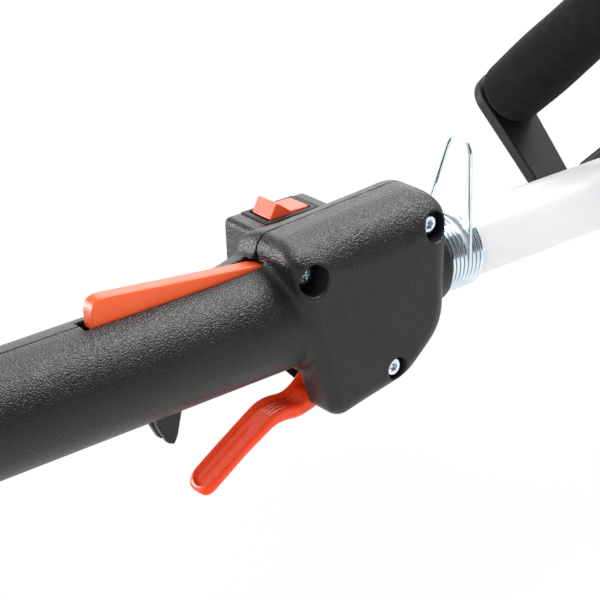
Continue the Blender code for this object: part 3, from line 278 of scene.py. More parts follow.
class Outline:
    """Signed distance to a flat outline, kept as a table so that it is quick to look up."""

    def __init__(self, points, cell=0.25, margin=26, soften=0):
        points = np.array(points, float)
        self.cell = cell
        self.low = points.min(0) - margin
        count = np.ceil((points.max(0) + margin - self.low) / cell).astype(int) + 1
        u, v = np.meshgrid(*[self.low[i] + cell * np.arange(count[i]) for i in (0, 1)],
                           indexing="ij")
        best = np.full(u.shape, 1e9)
        odd = np.zeros(u.shape, bool)
        for a, b in zip(points, np.roll(points, -1, axis=0)):
            e = b - a
            length = max(e @ e, 1e-12)
            t = np.clip(((u - a[0]) * e[0] + (v - a[1]) * e[1]) / length, 0, 1)
            best = minimum(best, (u - a[0] - t * e[0]) ** 2 + (v - a[1] - t * e[1]) ** 2)
            if a[1] != b[1]:
                crosses = (a[1] > v) != (b[1] > v)
                odd ^= crosses & (u < a[0] + (v - a[1]) * e[0] / e[1])
        table = np.sqrt(best)
        table[odd] *= -1
        if soften:
            reach = int(3 * soften / cell)
            kernel = np.exp(-0.5 * (np.arange(-reach, reach + 1) * cell / soften) ** 2)
            kernel /= kernel.sum()
            soft = table
            for axis in (0, 1):
                soft = np.apply_along_axis(lambda line: np.convolve(
                    np.pad(line, reach, mode="edge"), kernel, "valid"), axis, soft)
            share = step01(-table, 1, 6)
            table = table * (1 - share) + soft * share
        self.table = table

    def __call__(self, u, v):
        x = (u - self.low[0]) / self.cell
        y = (v - self.low[1]) / self.cell
        cx = np.clip(x, 0, self.table.shape[0] - 1.001)
        cy = np.clip(y, 0, self.table.shape[1] - 1.001)
        i, j = cx.astype(int), cy.astype(int)
        s, t = cx - i, cy - j
        d = self.table
        near = ((d[i, j] * (1 - s) + d[i + 1, j] * s) * (1 - t)
                + (d[i, j + 1] * (1 - s) + d[i + 1, j + 1] * s) * t)
        return near + self.cell * hypot(x - cx, y - cy)


def rounded(corners, per_corner=12):
    """Points of a convex outline with rounded corners, counter-clockwise."""
    points = []
    count = len(corners)
    for i, (x, z, radius) in enumerate(corners):
        corner = Vector((x, z))
        before = Vector(corners[i - 1][:2])
        after = Vector(corners[(i + 1) % count][:2])
        d, e = (corner - before).normalized(), (after - corner).normalized()
        half = math.acos(max(-1, min(1, d.dot(e)))) / 2
        centre = corner + (e - d).normalized() * (radius / math.cos(half))
        first = corner - d * radius * math.tan(half) - centre
        for k in range(per_corner + 1):
            points.append(tuple(centre + Matrix.Rotation(2 * half * k / per_corner, 2) @ first))
    return points


def eased(points, radius, steps=4):
    """An outline with its corners eased over about radius."""
    out = []
    for i, corner in enumerate(points):
        corner = np.array(corner, float)
        ends = []
        for other in (points[i - 1], points[(i + 1) % len(points)]):
            edge = np.array(other, float) - corner
            length = np.linalg.norm(edge)
            ends.append(corner + edge / length * min(radius, 0.45 * length))
        for k in range(steps + 1):
            t = k / steps
            out.append(tuple((1 - t) ** 2 * ends[0] + 2 * t * (1 - t) * corner + t ** 2 * ends[1]))
    return out


def profile(points, ease=1, cell=0.5):
    return Outline(eased(points, ease), cell=cell, margin=14)


def spokes(u, v, count, start=0):
    """Distance outwards and sideways along the nearest of count even spokes."""
    step = 2 * pi / count
    angle = np.arctan2(v, u) - start
    angle -= step * np.round(angle / step)
    away = hypot(u, v)
    return away * np.cos(angle), away * np.sin(angle)


def nearest(v, first, pitch, count):
    """v measured from the nearest of count even places."""
    return v - first - pitch * np.clip(np.round((v - first) / pitch), 0, count - 1)


def oblong(u, v, half, radius):
    """Slot with round ends, half long from its middle to the centre of an end."""
    return hypot(maximum(abs(u) - half, 0), v) - radius


def smooth_line(points, passes=40, cell=0.25):
    """A table of v over u through the points, its corners eased."""
    u = np.array([p[0] for p in points], float)
    v = np.array([p[1] for p in points], float)
    order = np.argsort(u)
    grid = np.arange(u.min(), u.max() + cell, cell)
    line = np.interp(grid, u[order], v[order])
    for _ in range(passes):
        line[1:-1] = (line[:-2] + 2 * line[1:-1] + line[2:]) / 4
    return lambda at: np.interp(at, grid, line)


def mesh_object(name, points, faces, matrix, mat, normals=None):
    mesh = bpy.data.meshes.new(name)
    points = points * MM @ np.array(matrix.to_3x3()).T + np.array(matrix.translation)
    mesh.vertices.add(len(points))
    mesh.vertices.foreach_set("co", points.astype(np.float32).ravel())
    sides = faces.shape[1]
    mesh.loops.add(faces.size)
    mesh.loops.foreach_set("vertex_index", faces.astype(np.int32).ravel())
    mesh.polygons.add(len(faces))
    mesh.polygons.foreach_set("loop_start", np.arange(0, faces.size, sides, dtype=np.int32))
    mesh.update(calc_edges=True)
    mesh.validate()
    mesh.polygons.foreach_set("use_smooth", np.ones(len(mesh.polygons), bool))
    if normals is not None:
        turned = normals @ np.array(matrix.to_3x3()).T
        mesh.normals_split_custom_set_from_vertices(turned.astype(np.float32).tolist())
    mesh.materials.append(mat)
    return new_object(name, mesh)


def gradient(field, p, reach):
    out = np.empty_like(p)
    for axis in range(3):
        ahead, behind = p.copy(), p.copy()
        ahead[:, axis] += reach
        behind[:, axis] -= reach
        out[:, axis] = (field(ahead) - field(behind)) / (2 * reach)
    return out


CELLS = 8
CORNERS = [(i, j, k) for i in (0, 1) for j in (0, 1) for k in (0, 1)]
EDGES = [(a, b) for a in range(8) for b in range(a + 1, 8)
         if sum(abs(x - y) for x, y in zip(CORNERS[a], CORNERS[b])) == 1]


def sample(field, low, high, cell):
    """Values of the field on a grid, worked out only in the blocks that its surface can reach."""
    low = np.array(low, float)
    blocks = maximum(1, np.ceil((np.array(high, float) - low) / (cell * CELLS)).astype(int))
    grid = np.stack(np.meshgrid(*[np.arange(n) for n in blocks], indexing="ij"), -1)
    start = grid.reshape(-1, 3) * CELLS
    middle = field(low + (start + CELLS / 2) * cell)
    value = np.ones(blocks * CELLS + 1, np.float32)
    sign = np.where(middle < 0, -1, 1).reshape(blocks)
    value[:-1, :-1, :-1] = sign.repeat(CELLS, 0).repeat(CELLS, 1).repeat(CELLS, 2)
    near = start[abs(middle) < CELLS * cell * 0.87 * 1.2 + 0.3]
    offsets = np.stack(np.meshgrid(*[np.arange(CELLS + 1)] * 3, indexing="ij"), -1).reshape(-1, 3)
    for part in np.array_split(near, max(1, len(near) // 200)):
        index = (part[:, None, :] + offsets[None]).reshape(-1, 3)
        value[tuple(index.T)] = field(low + index * cell)
    return low, value


def surface(field, low, high, cell):
    """Points, faces and normals of the closed skin round the region where the field is negative."""
    low, value = sample(field, low, high, cell)
    inside = value < 0
    size = np.array(value.shape)

    def corner(data, c):
        return data[c[0]:size[0] - 1 + c[0], c[1]:size[1] - 1 + c[1], c[2]:size[2] - 1 + c[2]]
    total = sum(corner(inside, c).astype(np.int8) for c in CORNERS)
    mixed = (total > 0) & (total < 8)
    cells = np.argwhere(mixed)
    number = np.full(mixed.shape, -1)
    number[mixed] = np.arange(len(cells))
    values = np.stack([value[tuple((cells + c).T)] for c in CORNERS], 1)
    found = np.zeros((len(cells), 3))
    hits = np.zeros(len(cells))
    for a, b in EDGES:
        va, vb = values[:, a], values[:, b]
        hit = (va < 0) != (vb < 0)
        t = np.where(hit, va / np.where(hit, va - vb, 1), 0)[:, None]
        ca, cb = np.array(CORNERS[a]), np.array(CORNERS[b])
        found += hit[:, None] * (ca + t * (cb - ca))
        hits += hit
    points = low + (cells + found / hits[:, None]) * cell
    faces = []
    for axis in range(3):
        u, v = (axis + 1) % 3, (axis + 2) % 3
        ahead = np.roll(inside, -1, axis)
        change = inside != ahead
        for side, end in ((u, 0), (v, 0), (0, -1), (1, -1), (2, -1)):
            rim = [slice(None)] * 3
            rim[side] = end
            change[tuple(rim)] = False
        at = np.argwhere(change)
        eu, ev = np.eye(3, dtype=int)[u], np.eye(3, dtype=int)[v]
        quad = np.stack([number[tuple((at - m * eu - n * ev).T)]
                         for m, n in ((0, 0), (1, 0), (1, 1), (0, 1))], 1)
        outward = inside[tuple(at.T)]
        quad[~outward] = quad[~outward][:, ::-1]
        faces.append(quad)
    faces = np.concatenate(faces)
    for _ in range(3):
        slope = gradient(field, points, cell * 0.15)
        steep = maximum((slope ** 2).sum(1), 0.05)
        move = slope * (field(points) / steep)[:, None]
        length = np.linalg.norm(move, axis=1)[:, None]
        points = points - move * minimum(1, 0.5 * cell / maximum(length, 1e-9))
    slope = gradient(field, points, cell * 0.3)
    return points, faces, slope / maximum(np.linalg.norm(slope, axis=1), 1e-9)[:, None]


def skin(name, field, low, high, cell, matrix, mat):
    points, faces, normals = surface(field, low, high, cell)
    return mesh_object(name, points, faces, matrix, mat, normals)


def place(piece, body, *nodes):
    """Let a piece ride a body and stand for CAD nodes."""
    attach(piece, body)
    if nodes:
        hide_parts(*nodes)
    return piece


def add_pieces(rows):
    """Rows of piece, field, lowest and highest corner, cell, frame, material, body and node."""
    return [place(skin(name, field, low, high, cell, matrix, mat), body, old)
            for name, field, low, high, cell, matrix, mat, body, old in rows]


# Control handle; numbers are in its own frame, in millimetres
GRIP_R = 20
GRIP_REAR = -215
NECK_R = 16.3
NECK_FRONT = -8
WALL = 2.5
HALVES = {-1: 22, 1: 14.5}
HOUSING = ((-68, -38.5, 7), (-33.5, -32.2, 20), (-15, -17, 20), (-11.3, 34.2, 11),
           (-84.8, 30.2, 6))
SIDE_ROUND = (7, 7, 9, 16, 4.6)     # round of the side edge along each side of HOUSING
FLARE = ((-120, 16), (-110, 18.4), (-98, 20.7), (-90.5, 21.8), (-83.8, 23.2),
         (-80, 24.6), (-76.5, 25.8), (-60, 25.8))
SCREWS = {"upper": (-20.4, 21.6, 5.3, 14.6), "rear": (-75, 18, 5.5, 12.6),
          "lower": (-40, -26.2, 4.2, 17)}
NIB = ((-131.2, -17.5), (-129.6, -25), (-126.2, -31.6), (-123.8, -32.7), (-122.2, -30),
       (-118.8, -17.5))
TRIGGER_PIVOT = (-52, -25)
LEVER_PIVOT = (-84.5, 16.8)
SWITCH = (-56.6, 21.1)
POD_LOW = (-75.2, 5, -6)
POD_HIGH = (-39, 30, 26.2)
BEZEL = (11.7, 7.5, 1.6)

housing_outline = Outline(rounded(HOUSING), soften=2.6)
nib_outline = Outline(NIB, margin=12)
flare_line = smooth_line(FLARE)


def side_depths(x, z):
    """Distance inwards from each straight side of the housing."""
    count = len(HOUSING)
    out = []
    for i in range(count):
        a = np.array(HOUSING[i][:2])
        b = np.array(HOUSING[(i + 1) % count][:2])
        along = (b - a) / np.linalg.norm(b - a)
        out.append(-along[1] * (x - a[0]) + along[0] * (z - a[1]))
    return out


def housing(x, y, z, half, inset=0):
    depths = side_depths(x, z)
    weights = [np.exp(-np.clip(d, -20, 60) / 4) for d in depths]
    radius = sum(w * r for w, r in zip(weights, SIDE_ROUND)) / sum(weights)
    radius = maximum(radius - inset, 0.8)
    return round_edge(housing_outline(x, z) + inset, y - half + inset, radius)


BORE_R = 17               # hollow of the grip behind the housing
BOSS_R = 6.8              # screw bosses, left standing in the hollow
BOSS_END = 12             # end of a screw's blind bore in the left shell
SCREW_BORE_R = 1.9
FLARE_END = {-1: -76.5, 1: -66}
LEFT_FLARE_R = 23.4
NIB_FROM = {-1: 0.6, 1: 1.5}
NIB_T = 3
LEVER_SLOT = (-154.5, -78.5)
LEVER_SLOT_HALF = 3.5
TRIGGER_SLOT = ((-82.5, -7.2, -60), (-56, 7.2, -22))


def shell_field(side):
    """Half shell of the control handle: side -1 is the right one, 1 the left one."""
    half = HALVES[side]

    def field(p):
        x, y, z = p[:, 0], p[:, 1] * side, p[:, 2]
        around = hypot(y, z)
        body = housing(x, y, z, half)
        if side > 0:
            body = smax(body, -0.78 * (x + 73) - 0.625 * (z + 20), 3)
        grip = drum(around, x, GRIP_R, GRIP_REAR, -60, 3)
        rise = z / maximum(around, 1)
        high = 0.5 * step01(rise, 0.15, 0.80) if side < 0 else step01(rise, -0.35, 0.35)
        wide = flare_line(x) if side < 0 else minimum(flare_line(x), LEFT_FLARE_R)
        reach = GRIP_R - 2 + (wide - GRIP_R + 2) * high
        flare = maximum((around - reach) * 0.9, slab(x, -112, FLARE_END[side]))
        out = smin(grip, flare, 1.5)
        out = smin(body, out, 3.2)
        neck = drum(around, x, NECK_R, -30, NECK_FRONT, 0.9)
        out = smin(out, neck, 1.6)
        if side > 0:
            out = smin(out, block(p, POD_LOW, POD_HIGH, 2.4), 1.2)
        near = NIB_FROM[side]
        nib = round_edge(nib_outline(x, z), slab(y, near, near + NIB_T), 0.5)
        out = smin(out, nib, 0.8)
        hollow = housing(x, y, z, half, WALL)
        for sx, sz, _, _ in SCREWS.values():
            hollow = maximum(hollow, BOSS_R - hypot(x - sx, z - sz))
        bore = drum(around, x, BORE_R, GRIP_REAR + 12, -100)
        out = maximum(out, -minimum(hollow, bore))
        out = smax(out, SEAT_R - around, 0.4)
        roof = minimum(24, 21.7 - 0.45 * (x + 84))
        out = cut(out, 0.5, slab(x, *LEVER_SLOT), abs(y) - LEVER_SLOT_HALF, slab(z, 0, roof))
        out = smax(out, -block(p, *TRIGGER_SLOT), 0.6)
        for sx, sz, bore_r, depth in SCREWS.values():
            away = hypot(x - sx, z - sz)
            end = y - BOSS_END if side > 0 else -60
            out = cut(out, 0.1, away - SCREW_BORE_R, end)
            if side < 0:
                out = cut(out, 0.8, away - bore_r, depth - y)
        if side > 0:
            sx, sy = SWITCH
            for rim, floor in ((-1.4, 8), (GAP, POD_HIGH[2] - BEZEL[2])):
                reach_x, reach_y = BEZEL[0] + rim, BEZEL[1] + rim
                well = block(p, (sx - reach_x, sy - reach_y, floor),
                             (sx + reach_x, sy + reach_y, 60))
                out = smax(out, -well, 0.35)
        return smax(out, GAP / 2 - y, 0.45)
    return field


def screw_field(p):
    """Six-lobe screw, its head up along Z from the origin."""
    x, y, z = p.T
    around = hypot(x, y)
    head = drum(around, z, 3.5, 0, 2.2, 0.8)
    star = (around - 1.42 - 0.26 * np.cos(6 * np.arctan2(y, x))) * 0.8
    out = cut(head, 0.25, star, 0.8 - z)
    return smin(out, drum(around, z, 1.6, -19, 1, 0.3), 0.2)


SCREW_BOX = ((-4.1, -4.1, -19.6), (4.1, 4.1, 2.8))


def add_screws():
    for label, (x, z, _, depth) in SCREWS.items():
        turn = Matrix.Translation((x * MM, -(depth + GAP) * MM, z * MM))
        place(skin("screw_" + label, screw_field, *SCREW_BOX, 0.19,
                   AT_HANDLE @ turn @ Matrix.Rotation(RIGHT_ANGLE, 4, "X"), ZINC),
              "chassis", "shell_screw_" + label)


# Throttle trigger
TRIGGER = ((-60, -25.5), (-66, -32), (-71, -34.6), (-78.5, -33.6), (-83.5, -34.6),
           (-91, -39), (-101, -45), (-111, -51.2), (-114.8, -54.5), (-113.4, -57.4),
           (-95.6, -46.2), (-83, -39.6), (-78.7, -39.3), (-72.2, -40.2), (-64, -38.5),
           (-56, -31))
trigger_outline = Outline(eased(TRIGGER, 2.6), margin=16)
trigger_top = smooth_line(TRIGGER[1:9], 25)
TRIGGER_HALF = 6.5
TRIGGER_TIP = -115.2
TIP_STRETCH = 1.2         # how much blunter than a half circle the tip is
TRIGGER_DISH = 1.9        # depth of the finger's dish in its back


def trigger_field(p):
    x, y, z = p.T
    px, pz = TRIGGER_PIVOT
    tip = TRIGGER_TIP + TRIGGER_HALF / TIP_STRETCH
    plan = hypot(TIP_STRETCH * minimum(x - tip, 0), y)
    out = smax(trigger_outline(x, z), plan - TRIGGER_HALF, 2.2)
    lines = 0.22 * np.cos(2 * pi * y / 1.5) * step01(x, -84, -78)
    floor = trigger_top(x) - TRIGGER_DISH + lines
    floor = floor - 0.5 * np.exp(-(y / 1.3) ** 2) * step01(-x, 86, 92)
    dish = hypot(TIP_STRETCH * minimum(x - tip - 0.4, 0), y) - TRIGGER_HALF + TRIGGER_DISH
    out = smax(out, -smax((floor - z) * 0.86, dish, 1.4), 1)
    away = hypot(x - px, z - pz)
    out = smin(out, drum(away, y, 5.2, -6, 6, 0.5), 1)
    return maximum(out, 2.3 - away)


# Lock-out lever
LEVER = ((-151.2, 16.4), (-80.2, 16.4), (-79.6, 19.2), (-84, 21), (-107, 23.6),
         (-147.2, 28.5), (-150, 27.4), (-151.2, 24.6))
lever_outline = Outline(eased(LEVER, 2.4), margin=8)


def lever_field(p):
    x, y, z = p.T
    px, pz = LEVER_PIVOT
    away = hypot(x - px, z - pz)
    out = round_edge(maximum(lever_outline(x, z), 18 - z), abs(y) - 2.9, 0.8)
    out = smin(out, drum(away, y, 2.7, -2.6, 2.6, 0.3), 0.5)
    return maximum(out, 1.5 - away)


# Stop switch
ROCKER_TILT = radians(12)
ROCKER = ((-6.4, 5), (-5.3, 5), (0.4, 2.2), (8.3, 3.6), (7.9, -1), (4, -3.4),
          (-4, -3.4), (-8.3, -0.6))


def rocker_points():
    cos, sin = math.cos(ROCKER_TILT), math.sin(ROCKER_TILT)
    top = POD_HIGH[2]
    return [(SWITCH[0] + u * cos + w * sin, top - 1 - u * sin + w * cos) for u, w in ROCKER]


rocker_outline = Outline(rocker_points(), cell=0.1, margin=4)


def rocker_field(p):
    x, y, z = p.T
    return round_edge(rocker_outline(x, z), abs(y - SWITCH[1]) - 5.3, 0.45)


def bezel_field(p):
    x, y = SWITCH
    hx, hy, lip = BEZEL
    top = POD_HIGH[2]
    out = block(p, (x - hx, y - hy, top - lip + GAP), (x + hx, y + hy, top + GAP), 0.5)
    case = block(p, (x - hx + 2, y - hy + 1.9, top - 14),
                 (x + hx - 2, y + hy - 1.9, top - lip / 2), 0.3)
    well = block(p, (x - 9.3, y - 5.7, top - 7), (x + 9.3, y + 5.7, top + 10), 0.4)
    return smax(minimum(out, case), -well, 0.3)


# Wire hanger
WIRE_R = 0.75
COIL_PITCH = 1.95
COIL_R = SHAFT_R + WIRE_R + GAP


def hanger_route():
    """Centre line of the wire: a rear coil, one turn drawn up into a loop, a front coil."""
    points = []

    def coil(x, start, turns):
        count = round(turns * 40)
        for k in range(count + 1):
            part = turns * k / count
            angle = start - 2 * pi * part
            points.append((x + COIL_PITCH * part, COIL_R * math.cos(angle),
                           COIL_R * math.sin(angle)))
    coil(NECK_FRONT + WIRE_R + GAP, pi * 10, 4.5)
    x = points[-1][0]
    joined = radians(20)
    advance = COIL_PITCH * (pi - joined) / (2 * pi)
    bend = 6
    centre = (-COIL_R + bend, 46.5 - bend)
    climb = [(-COIL_R, centre[1] * k / 8) for k in range(1, 8)]
    for k in range(17):
        angle = radians(180 - 156 * k / 16)
        climb.append((centre[0] + bend * math.cos(angle), centre[1] + bend * math.sin(angle)))
    last = climb[-1]
    end = (COIL_R * math.cos(joined), COIL_R * math.sin(joined))
    climb += [tuple(a + (b - a) * k / 8 for a, b in zip(last, end)) for k in range(1, 8)]
    for k, (y, z) in enumerate(climb):
        points.append((x + advance * (k + 1) / (len(climb) + 1), y, z))
    coil(x + advance, joined, 2.7)
    return points


def even_line(points, spacing):
    points = np.array(points, float)
    run = np.concatenate([[0], np.cumsum(np.linalg.norm(np.diff(points, axis=0), axis=1))])
    at = np.linspace(0, run[-1], max(2, int(run[-1] / spacing)))
    line = np.stack([np.interp(at, run, points[:, i]) for i in range(3)], 1)
    for _ in range(2):
        line[1:-1] = (line[:-2] + 2 * line[1:-1] + line[2:]) / 4
    return line


def sweep(name, line, radius, sides, matrix, mat):
    """A round bar along a line, its ends slightly rounded."""
    tangent = np.gradient(line, axis=0)
    tangent /= np.linalg.norm(tangent, axis=1)[:, None]
    side = np.cross(tangent[0], (0.3, 0.2, 0.9))
    angles = 2 * pi * np.arange(sides) / sides
    rings = []
    ends = [(0, -0.35 * radius, 0), (0, -0.25 * radius, 0.75)]
    ends += [(k, 0, 1) for k in range(len(line))]
    ends += [(len(line) - 1, 0.25 * radius, 0.75), (len(line) - 1, 0.35 * radius, 0)]
    for k, shift, scale in ends:
        side = side - tangent[k] * (side @ tangent[k])
        side /= np.linalg.norm(side)
        other = np.cross(tangent[k], side)
        wide = radius * max(scale, 0.05)
        rings.append(line[k] + tangent[k] * shift + wide * (
            np.cos(angles)[:, None] * side + np.sin(angles)[:, None] * other))
    points = np.concatenate(rings)
    faces = []
    for k in range(len(rings) - 1):
        for s in range(sides):
            t = (s + 1) % sides
            faces.append((k * sides + s, k * sides + t, (k + 1) * sides + t, (k + 1) * sides + s))
    first = len(points)
    points = np.concatenate([points, line[:1] - tangent[0] * 0.36 * radius,
                             line[-1:] + tangent[-1] * 0.36 * radius])
    tail = (len(rings) - 1) * sides
    for s in range(0, sides, 2):
        faces.append((first, (s + 2) % sides, s + 1, s))
        faces.append((first + 1, tail + s, tail + s + 1, tail + (s + 2) % sides))
    return mesh_object(name, points, np.array(faces), matrix, mat)


# Loop handle
BAR_Z = 66.4
ARM_Y = 59.5
ARM_T = 5.8
ARM_FLARE = radians(3.9)
BASE_Z = 14


def arm_points():
    arc = [radians(-5 + 190 * k / 36) for k in range(37)]
    outline = [(11.5 * math.cos(a), BAR_Z + 2 + 11.5 * math.sin(a)) for a in arc]
    return outline + [(-8.8, BASE_Z - 0.2), (8.8, BASE_Z - 0.2)]


arm_outline = Outline(arm_points(), margin=20)


def loop_field(p):
    x, y, z = p.T
    away = abs(y)
    cos, sin = math.cos(ARM_FLARE), math.sin(ARM_FLARE)
    v = cos * (z - BASE_Z) + sin * (away - ARM_Y)
    w = -sin * (z - BASE_Z) + cos * (away - ARM_Y)
    out = round_edge(arm_outline(x, v + BASE_Z), abs(w) - ARM_T / 2, 0.9)
    out = cut(out, 0.3, abs(abs(x) - 6.6) - 0.35, abs(w - ARM_T / 2) - 0.25, slab(z, 18, 60))
    base = round_edge(maximum(abs(x) - 8.8, away - ARM_Y - 3),
                      slab(z, BASE_Z, BASE_Z + ARM_T), 1.2)
    out = smin(out, base, 1.5)
    bar = drum(hypot(x, z - BAR_Z), away, 8, -1, ARM_Y + 3, 0.5)
    out = smin(out, bar, 0.4)
    saddle = block(p, (-18, -23.5, 1), (18, 23.5, BASE_Z + ARM_T - 0.5), 2.2)
    out = smin(out, saddle, 2.5)
    for bolt in (-18.2, 18.2):
        away = hypot(x, y - bolt)
        out = maximum(out, -maximum(away - 2.5, z - 11))
    return smax(out, SEAT_R - hypot(y, z), 0.5)


def clamp_field(p):
    x, y, z = p.T
    out = block(p, (-18, -23.5, -19), (18, 23.5, -1), 2.2)
    for bolt in (-18.2, 18.2):
        out = maximum(out, 2.5 - hypot(x, y - bolt))
    return smax(out, SEAT_R - hypot(y, z), 0.5)


def foam_field(p):
    x, y, z = p.T
    around = hypot(x, z - BAR_Z)
    away = abs(y)
    full = 14.3 - 0.25 * np.cos(pi * np.clip(away / 59, 0, 1) * 2) - 0.25
    out = round_edge(around - full, away - 58.2, 4)
    return smax(out, 8.3 - around, 0.3)


SHELLS = (
    ("shell_right", shell_field(-1), (-217.1, -23.4, -42.3), (-6.2, 0.9, 37.3), 0.62, AT_HANDLE,
     CHARCOAL, "chassis", "handle_shell_right"),
    ("shell_left", shell_field(1), (-217.1, -0.9, -42.3), (-6.2, 32.1, 37.3), 0.62, AT_HANDLE,
     CHARCOAL, "chassis", "handle_shell_left"),
)
SX, SY = SWITCH
CONTROLS = (
    ("trigger_lever", trigger_field, (-116.6, -7.9, -58.6), (-45.6, 7.9, -18.6), 0.45, AT_HANDLE,
     ORANGE, "trigger", "throttle_trigger"),
    ("lockout_blade", lever_field, (-152.6, -3.9, 12.4), (-78.2, 3.9, 29.6), 0.4, AT_HANDLE,
     KEY_LIT_ORANGE, "lockout", "lockout_lever"),
    ("rocker", rocker_field, (SX - 10, SY - 6.4, 20), (SX + 10, SY + 6.4, 32), 0.25, AT_HANDLE,
     RED, "stop_rocker", "switch_rocker"),
    ("bezel", bezel_field, (SX - 12.6, SY - 8.4, 11.4), (SX + 12.6, SY + 8.4, 27.4), 0.3,
     AT_HANDLE, ARM_BLACK, "chassis", "switch_body"),
)
LOOP = (
    ("loop_bracket", loop_field, (-19.2, -69.8, 0.2), (19.2, 69.8, 81.4), 0.7, AT_LOOP,
     ARM_BLACK, "loop_handle", "loop_frame"),
    ("loop_cap", clamp_field, (-19.2, -24.8, -20.2), (19.2, 24.8, 0.2), 0.7, AT_LOOP,
     ARM_BLACK, "loop_handle", "loop_clamp"),
    ("foam_bar", foam_field, (-16.2, -60.6, 50.2), (16.2, 60.6, 82.6), 0.75, AT_LOOP,
     FOAM, "loop_handle", "foam_grip"),
)


def add_handle_pieces():
    add_pieces(SHELLS)
    add_screws()
    add_pieces(CONTROLS)
    place(sweep("wire_hanger", even_line(hanger_route(), 1.1), WIRE_R, 12, AT_HANDLE, ZINC),
          "chassis", "hanger_spring")
    foam = add_pieces(LOOP)[-1]


# Shaft
TUBE = (120.8, 1440)


def tube_line():
    """Outline of the tube's wall, its radius and its place along the shaft."""
    outer = [(SHAFT_R, x) for x in np.linspace(TUBE[0] + 0.4, TUBE[1] - 0.4, 90)]
    return ([(SHAFT_R - 1.5, TUBE[0]), (SHAFT_R - 0.3, TUBE[0])] + outer
            + [(SHAFT_R - 0.3, TUBE[1]), (SHAFT_R - 1.5, TUBE[1])])


def lathe(name, line, sides, matrix, mat):
    """Closed turned piece round the X axis from its outline of radius and place."""
    count = len(line)
    angles = 2 * pi * np.arange(sides) / sides
    radius, along = np.array(line, float).T
    points = np.stack([np.broadcast_to(along, (sides, count)), np.cos(angles)[:, None] * radius,
                       np.sin(angles)[:, None] * radius], -1).reshape(-1, 3)
    faces = [(s * count + k, t * count + k, t * count + (k + 1) % count,
              s * count + (k + 1) % count)
             for s in range(sides) for t in ((s + 1) % sides,) for k in range(count)]
    return mesh_object(name, points, np.array(faces), matrix, mat)


# Engine; its frame has the crank axis as X
CYL_X = -4
CARB_Z = 71
clutch_profile = profile([(21, 142), (21, 128), (47, 115.5), (47, 92), (56, 92), (56, 83.8),
                          (42.5, 83.8), (42.5, 112.5), (12.3, 112.5), (12.3, 120.5), (13.3, 120.5),
                          (13.3, 142)], 0.9)
fan_profile = profile([(64, 83.5), (64, 44), (30, 44), (30, 48), (58, 48), (58, 80.5),
                       (45, 80.5), (45, 83.5)], 1.6)
starter_profile = profile([(-5, -85), (37.5, -85), (46.5, -76), (46.5, -40.5), (50, -40.5),
                           (50, -78), (40, -88), (-5, -88)], 1.3)
REEL = ((8, -72), (8, -58), (40, -58), (40, -60.5), (30, -60.5), (30, -69.5),
        (40, -69.5), (40, -72))
FLANGE_R = 51.4
FAN_SEAT = 64.3
STARTER_SEAT = 50.3
STARTER_EAR_R = 50.5
BOLT_R = 36.5                               # bolts of the crankcase, round the crank
BOLT_TURNS = (0.42, pi - 0.42, pi + 0.30, -0.30)


def clutch_field(p):
    x, y, z = p.T
    around = hypot(y, z)
    r, t = spokes(y, z, 8, pi / 8)
    rib = maximum(abs(t) - 1.3, slab(x + 0.48 * (r - 21), 118, 130.5) * 0.9)
    out = join(clutch_profile(around, x), 1.6, rib, slab(r, 18, 46.6))
    r, t = spokes(y, z, 4, pi / 4)
    ear = hypot(r - FLANGE_R, t)
    out = smin(out, drum(ear, x, 5.6, 84.2, 95, 0.9), 1.6)
    out = smin(out, block(p, (127, -7.5, 16), (141.5, 7.5, 28.5), 2), 1.8)
    out = maximum(out, -maximum(around - 42.5, slab(x, 60, 112.5)))
    out = maximum(out, -maximum(around - 12.3, x - 120.5))
    out = cut(out, 0.4, around - SEAT_R, 110 - x)
    out = cut(out, 0.4, abs(y) - 0.8, 12 - z, 124 - x)
    return smax(out, 1.9 - hypot(x - 134.5, z - 23), 0.2)


def fan_field(p):
    x, y, z = p.T
    around = hypot(y, z)
    _, t = spokes(y, z, 40)
    groove = meet(abs(t) - 1.1, 62.6 - around, slab(x, 51, 77))
    out = smax(fan_profile(around, x), -groove, 0.7)
    seam = maximum(abs(x - 64) - 0.35, 63.4 - around)
    return smax(out, -seam, 0.4)


def starter_field(p):
    x, y, z = p.T
    around = hypot(y, z)
    room = maximum(around - 46, -75.5 - x)
    guide = maximum(block(p, (-72, 36, 8), (-56, 56, 32), 2.6), -room)
    out = smin(starter_profile(around, x), guide, 1.2)
    out = smax(out, -drum(hypot(x + 64, z - 20), y, 2.3, 40, 60), 0.6)
    swirl = 0.020 * (around - 16)
    cos, sin = np.cos(swirl), np.sin(swirl)
    r, t = spokes(y * cos - z * sin, y * sin + z * cos, 18)
    out = cut(out, 0.5, oblong(r - 26.5, t, 8.6, 1.5), x + 79)
    out = cut(out, 0.4, abs(around - 13.2) - 0.5, -87.1 - x)
    r, t = spokes(y, z, 22, pi / 22)
    side = maximum(oblong(x + 60, t, 8, 1.5), 44 - around)
    side = maximum(side, -block(p, (-76, 30, 2), (-50, 60, 38)))
    out = cut(out, 0.5, side, -z - 24)
    r, t = spokes(y, z, 4, pi / 4)
    ear = drum(hypot(r - STARTER_EAR_R, t), x, 5.2, -48.5, -40.8, 0.8)
    ear = meet(ear, 46.5 - around, -z - 30)
    return smin(out, ear, 1.4)


